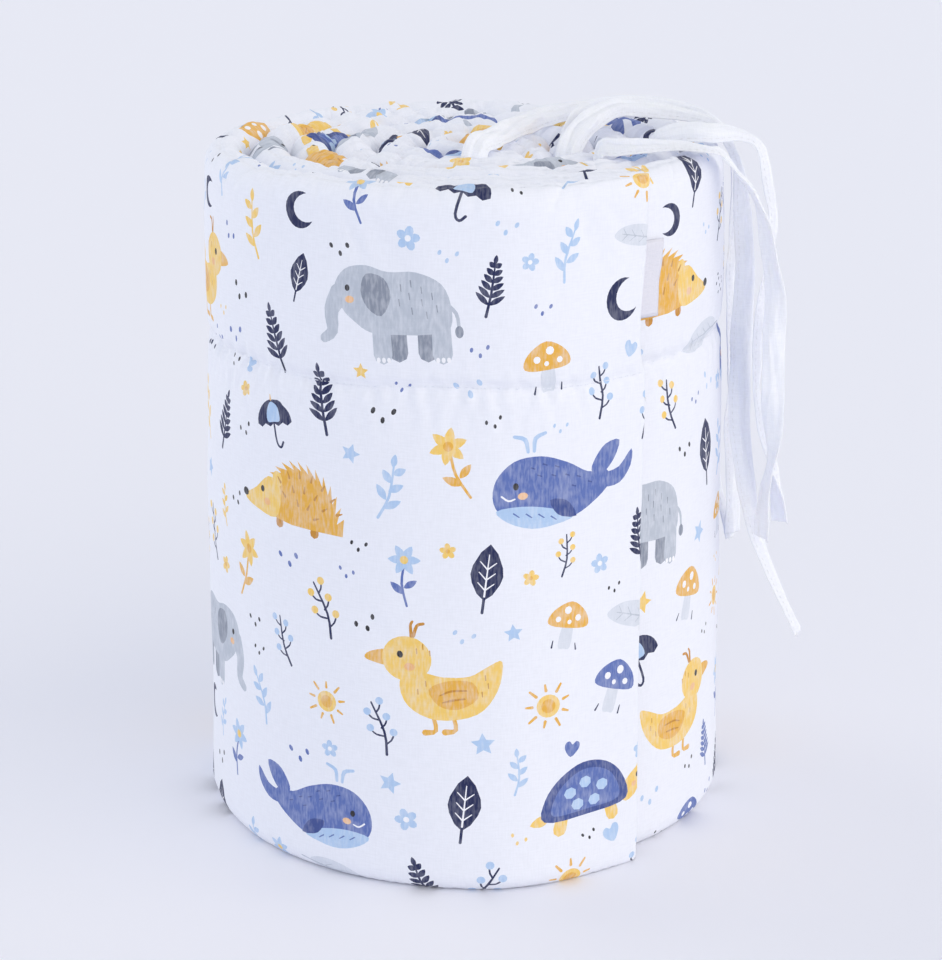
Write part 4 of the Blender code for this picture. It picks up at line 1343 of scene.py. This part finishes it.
# How far a tape stands out of its plane: its arch, and how deep it is cupped, tilted, ruffled and crinkled
TAPE_ARCH = 0.0007
CUP_DEPTH = 0.00055
TILT_DEPTH = 0.00042
RUFFLE_DEPTH = 0.00026
CRINKLE_DEPTH = 0.00012
TAPE_WAVES = (0.045, 0.060, 0.030, 0.024, 0.038, 0.0075, 0.034, 0.041, 0.028, 0.023)
# Two sharper creases wander along it: depth and its change, place across and how far it wanders, half width
TAPE_CREASES = ((-0.00095, -0.00040, 0.36, 0.22, 0.13), (0.00070, 0.00045, -0.30, 0.20, 0.12))


def folded(place, angle):
    """How a folded tape's width lies: distances across and off its plane, as shares of half its width."""
    lean = -math.radians(angle) * np.tanh((FOLD_SHARES - place) / FOLD_SHARPNESS)
    step = FOLD_SHARES[1] - FOLD_SHARES[0]
    across, off = [np.concatenate([[0.0], np.cumsum((part[1:] + part[:-1]) / 2.0 * step)])
                   for part in (np.cos(lean), np.sin(lean))]
    return across - (across[0] + across[-1]) / 2.0, off - np.linspace(off[0], off[-1], len(off))


def tie(name, rows, folds, seed):
    """A tape's mesh, its stitched line, and its length."""
    middle, widths = tie_route(rows)
    way = np.gradient(middle, axis=0)
    way /= np.linalg.norm(way, axis=1)[:, None]
    across = widths - (widths * way).sum(axis=1)[:, None] * way
    across /= np.linalg.norm(across, axis=1)[:, None]
    face = np.cross(way, across)
    far = distances(middle)
    random.seed(seed)
    narrowing, cup, tilt, ruffle, cup_shift, crinkle, *wander = [
        ripple(far, 0.0, length, 4, 0.0) for length in TAPE_WAVES]
    creases_here = list(zip(TAPE_CREASES, wander[:2], wander[2:]))
    free = ease((far - 0.010) / 0.02)
    half_width = TAPE_WIDTH / 2.0 * (1.0 - TAPE_NARROWING * free * (0.5 + 0.5 * narrowing))
    fold_far, fold_place, fold_angle = np.array(folds).T
    fold_place, fold_angle = np.interp(far, fold_far, fold_place), np.interp(far, fold_far, fold_angle)
    # Round the flat tube: out along the upper layer and back along the lower one. The folded edge is plumper.
    shares = [math.cos(math.pi * step / TAPE_SIDES) for step in range(TAPE_SIDES)]
    ring = [(share, 1.0) for share in shares] + [(-share, -1.0) for share in shares]
    ring.append((-STITCH_SHARE, 1.0))
    rings, stitch_line = [], []
    for index in range(len(far)):
        fold_across, fold_off = folded(fold_place[index], fold_angle[index])
        creased = []
        for share, side in ring:
            ridge = TAPE_ARCH * (1.0 - abs(share) ** 1.4)
            ridge += free[index] * (CUP_DEPTH * cup[index] * math.cos(2.6 * share + 0.6 * cup_shift[index])
                                    + TILT_DEPTH * tilt[index] * share
                                    + RUFFLE_DEPTH * ruffle[index] * math.cos(5.5 * share)
                                    + CRINKLE_DEPTH * crinkle[index] * math.cos(2.2 * share))
            ridge += half_width[index] * np.interp(share, FOLD_SHARES, fold_off)
            for (depth, change, place, aside, reach), place_wave, depth_wave in creases_here:
                away = abs(share - place - aside * place_wave[index])
                ridge += (depth + change * depth_wave[index]) * math.exp(-away / reach)
            thick = TAPE_THICKNESS / 2.0 * (TAPE_EDGE + TAPE_BODY * math.sqrt(max(0.0, 1.0 - share ** 4)))
            thick *= 1.0 + TAPE_PLUMPNESS * math.exp(-(((share - 0.86) / 0.12) ** 2))
            creased.append(middle[index] + face[index] * (ridge + side * thick)
                           + across[index] * half_width[index] * np.interp(share, FOLD_SHARES, fold_across))
        stitch = creased.pop()
        rings.append(creased)
        if far[index] > STITCHED_FROM:
            stitch_line.append(stitch)
    ring.pop()
    count = len(ring)
    vertices = [point for creased in rings for point in creased]
    quads, flat_corners = [], []
    layout = [(share * TAPE_WIDTH / 2.0 if side > 0 else TAPE_WIDTH - share * TAPE_WIDTH / 2.0)
              for share, side in ring]
    layout.append(layout[0] + 2.0 * TAPE_WIDTH)
    for index in range(len(rings) - 1):
        for step in range(count):
            after = (step + 1) % count
            quads.append((index * count + step, index * count + after,
                          (index + 1) * count + after, (index + 1) * count + step))
            flat_corners += [(far[index], layout[step]), (far[index], layout[step + 1]),
                             (far[index + 1], layout[step + 1]), (far[index + 1], layout[step])]
    for start, order in ((0, -1), ((len(rings) - 1) * count, 1)):
        for step in range(count // 2 - 1):
            corners = (start + step, start + step + 1, start + count - 2 - step, start + count - 1 - step)
            quads.append(corners[::order])
            flat_corners += [(far[0 if start == 0 else -1], 0.0)] * 4
    data = bpy.data.meshes.new(name)
    data.from_pydata([tuple(vertex) for vertex in vertices], [], quads)
    laid_flat = data.uv_layers.new(name="cloth")
    laid_flat.data.foreach_set("uv", np.array(flat_corners, dtype=np.float32).ravel())
    data.shade_smooth()
    return put(name, data), stitch_line, float(far[-1])


# The tape is thin enough for some light to come through.
TAPE_THREADS = 1700.0
tape_cotton, wire, shader = new_material("tape_cotton", 0.84, Specular_IOR_Level=0.22, Subsurface_Weight=0.85,
                                         Subsurface_Scale=0.0018, Subsurface_Radius=(1.0, 1.0, 1.1))
flat_place, weave = woven(wire, TAPE_THREADS)
handled = wire.node("ShaderNodeTexNoise", {},
                    {"Vector": wire.node("ShaderNodeTexCoord", output="Object"), "Scale": 60.0})
tint = mixed(wire, handled, light_of(243, 245, 255), light_of(233, 236, 253))
feed(shader, Base_Color=threaded(wire, tint, weave, 0.965), Normal=bumped(wire, weave, 0.4, 0.0005))

TIE_PITCH = 0.0032
TIE_STITCH = 0.0022
TIE_THREAD = 0.00030
for seed, (name, rows) in enumerate(TIES.items(), start=41):
    tape, tape_line, tape_length = tie("cotton_" + name, rows, FOLDS[name], seed)
    tape.data.materials.append(tape_cotton)
    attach(tape, "root")
    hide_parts(name)
    tape_stitches = stitches(name + "_stitches", tape_line, TIE_PITCH, TIE_STITCH, TIE_THREAD, white_thread)
    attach(tape_stitches, "root")


# --- The tag --------------------------------------------------------------------------------------------
# A bare woven tape, folded double, with its two cut ends sewn in under the pad's outer end. It lies on the
# turn below, and its folded edge stands a little off it.
TAG_HEIGHT = 0.032
TAG_LENGTH = 0.0121
TAG_THICKNESS = 0.0009
TAG_BOTTOM = 0.2389
TAG_START = 1.2
TAG_ROOT = 0.0035
TAG_LIFT = 0.00075
TAG_SHIFT = 0.0006
TAG_FOLD = 0.0005
TAG_SELVEDGE = 0.0008
TAG_CURL = 0.0006
TAG_THREADS = 2100.0
TAG_ROWS = 17
TAG_COLUMNS = 13
# The two layers lie this far apart on the flat layout that the weave follows.
TAG_LAYOUT_GAP = 0.04


def tag_mesh():
    """The tag's closed mesh, laid on the turn below and going on from the outer end's angle."""
    base_radius = turn_radius(LAST_ANGLE - 360.0) + PAD_THICKNESS / 2.0
    vertices, flat_places = [], []
    for side in (1.0, -1.0):
        for row in range(TAG_ROWS):
            up = row / (TAG_ROWS - 1)
            height = TAG_BOTTOM + TAG_HEIGHT * up
            edge = min(up, 1.0 - up) * TAG_HEIGHT
            for column in range(TAG_COLUMNS):
                share = column / (TAG_COLUMNS - 1)
                out = -TAG_ROOT + (TAG_LENGTH + TAG_ROOT) * share
                past = max(0.0, (out - TAG_LENGTH + TAG_FOLD) / TAG_FOLD)
                thick = TAG_THICKNESS / 2.0 * math.sqrt(max(0.05, 1.0 - past ** 2))
                thick *= 0.75 + 0.25 * math.sqrt(min(1.0, edge / TAG_SELVEDGE))
                curl = TAG_CURL * max(0.0, out / TAG_LENGTH) ** 2 * (0.6 + 0.4 * math.cos(math.tau * up))
                wave = 0.00016 * math.sin(7.0 * up + 2.5 * share) + 0.0001 * math.sin(17.0 * up - 3.0 * share)
                shifted = float(np.interp(height, END_HEIGHTS, END_SHIFTS)) - TAG_SHIFT
                angle = LAST_ANGLE + TAG_START + math.degrees((out + shifted) / base_radius)
                radius = base_radius + TAG_LIFT + TURN_PITCH * (angle - LAST_ANGLE) / 360.0
                radius += curl + wave + side * thick
                far, bend = radius * widening(height), math.radians(angle)
                vertices.append((far * math.cos(bend), far * math.sin(bend), height))
                flat_places.append((out + side * TAG_LAYOUT_GAP / 2.0, up * TAG_HEIGHT))
    layer, quads = TAG_ROWS * TAG_COLUMNS, []
    for row in range(TAG_ROWS - 1):
        for column in range(TAG_COLUMNS - 1):
            a = row * TAG_COLUMNS + column
            quads.append((a, a + 1, a + TAG_COLUMNS + 1, a + TAG_COLUMNS))
            quads.append((layer + a, layer + a + TAG_COLUMNS, layer + a + TAG_COLUMNS + 1, layer + a + 1))
    rim = list(range(TAG_COLUMNS))
    rim += [row * TAG_COLUMNS + TAG_COLUMNS - 1 for row in range(1, TAG_ROWS)]
    rim += [(TAG_ROWS - 1) * TAG_COLUMNS + column for column in range(TAG_COLUMNS - 2, -1, -1)]
    rim += [row * TAG_COLUMNS for row in range(TAG_ROWS - 2, 0, -1)]
    for here, there in zip(rim, rim[1:] + rim[:1]):
        quads.append((here, layer + here, layer + there, there))
    data = bpy.data.meshes.new("bare_tag")
    data.from_pydata(vertices, [], quads)
    layout = data.uv_layers.new(name="cloth")
    for loop in data.loops:
        layout.data[loop.index].uv = flat_places[loop.vertex_index]
    data.shade_smooth()
    return data


bare_tag = put("bare_tag", tag_mesh())
tag_cotton, wire, shader = new_material("tag_cotton", 0.72, Specular_IOR_Level=0.3, Sheen_Weight=0.1)
flat_place, weave = woven(wire, TAG_THREADS)
ribs = wire.node("ShaderNodeTexWave", {"bands_direction": "Y"},
                 {"Vector": stretched(wire, flat_place, (0.0, 1.0, 0.0)), "Scale": 330.0, "Distortion": 0.0})
tint = mixed(wire, weave, light_of(217, 217, 228), light_of(233, 232, 240))
feed(shader, Base_Color=tint, Normal=bumped(wire, weave * 0.6 + ribs * 0.4, 0.35, 0.0003))
bare_tag.data.materials.append(tag_cotton)
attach(bare_tag, "root")
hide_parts("label_tag")
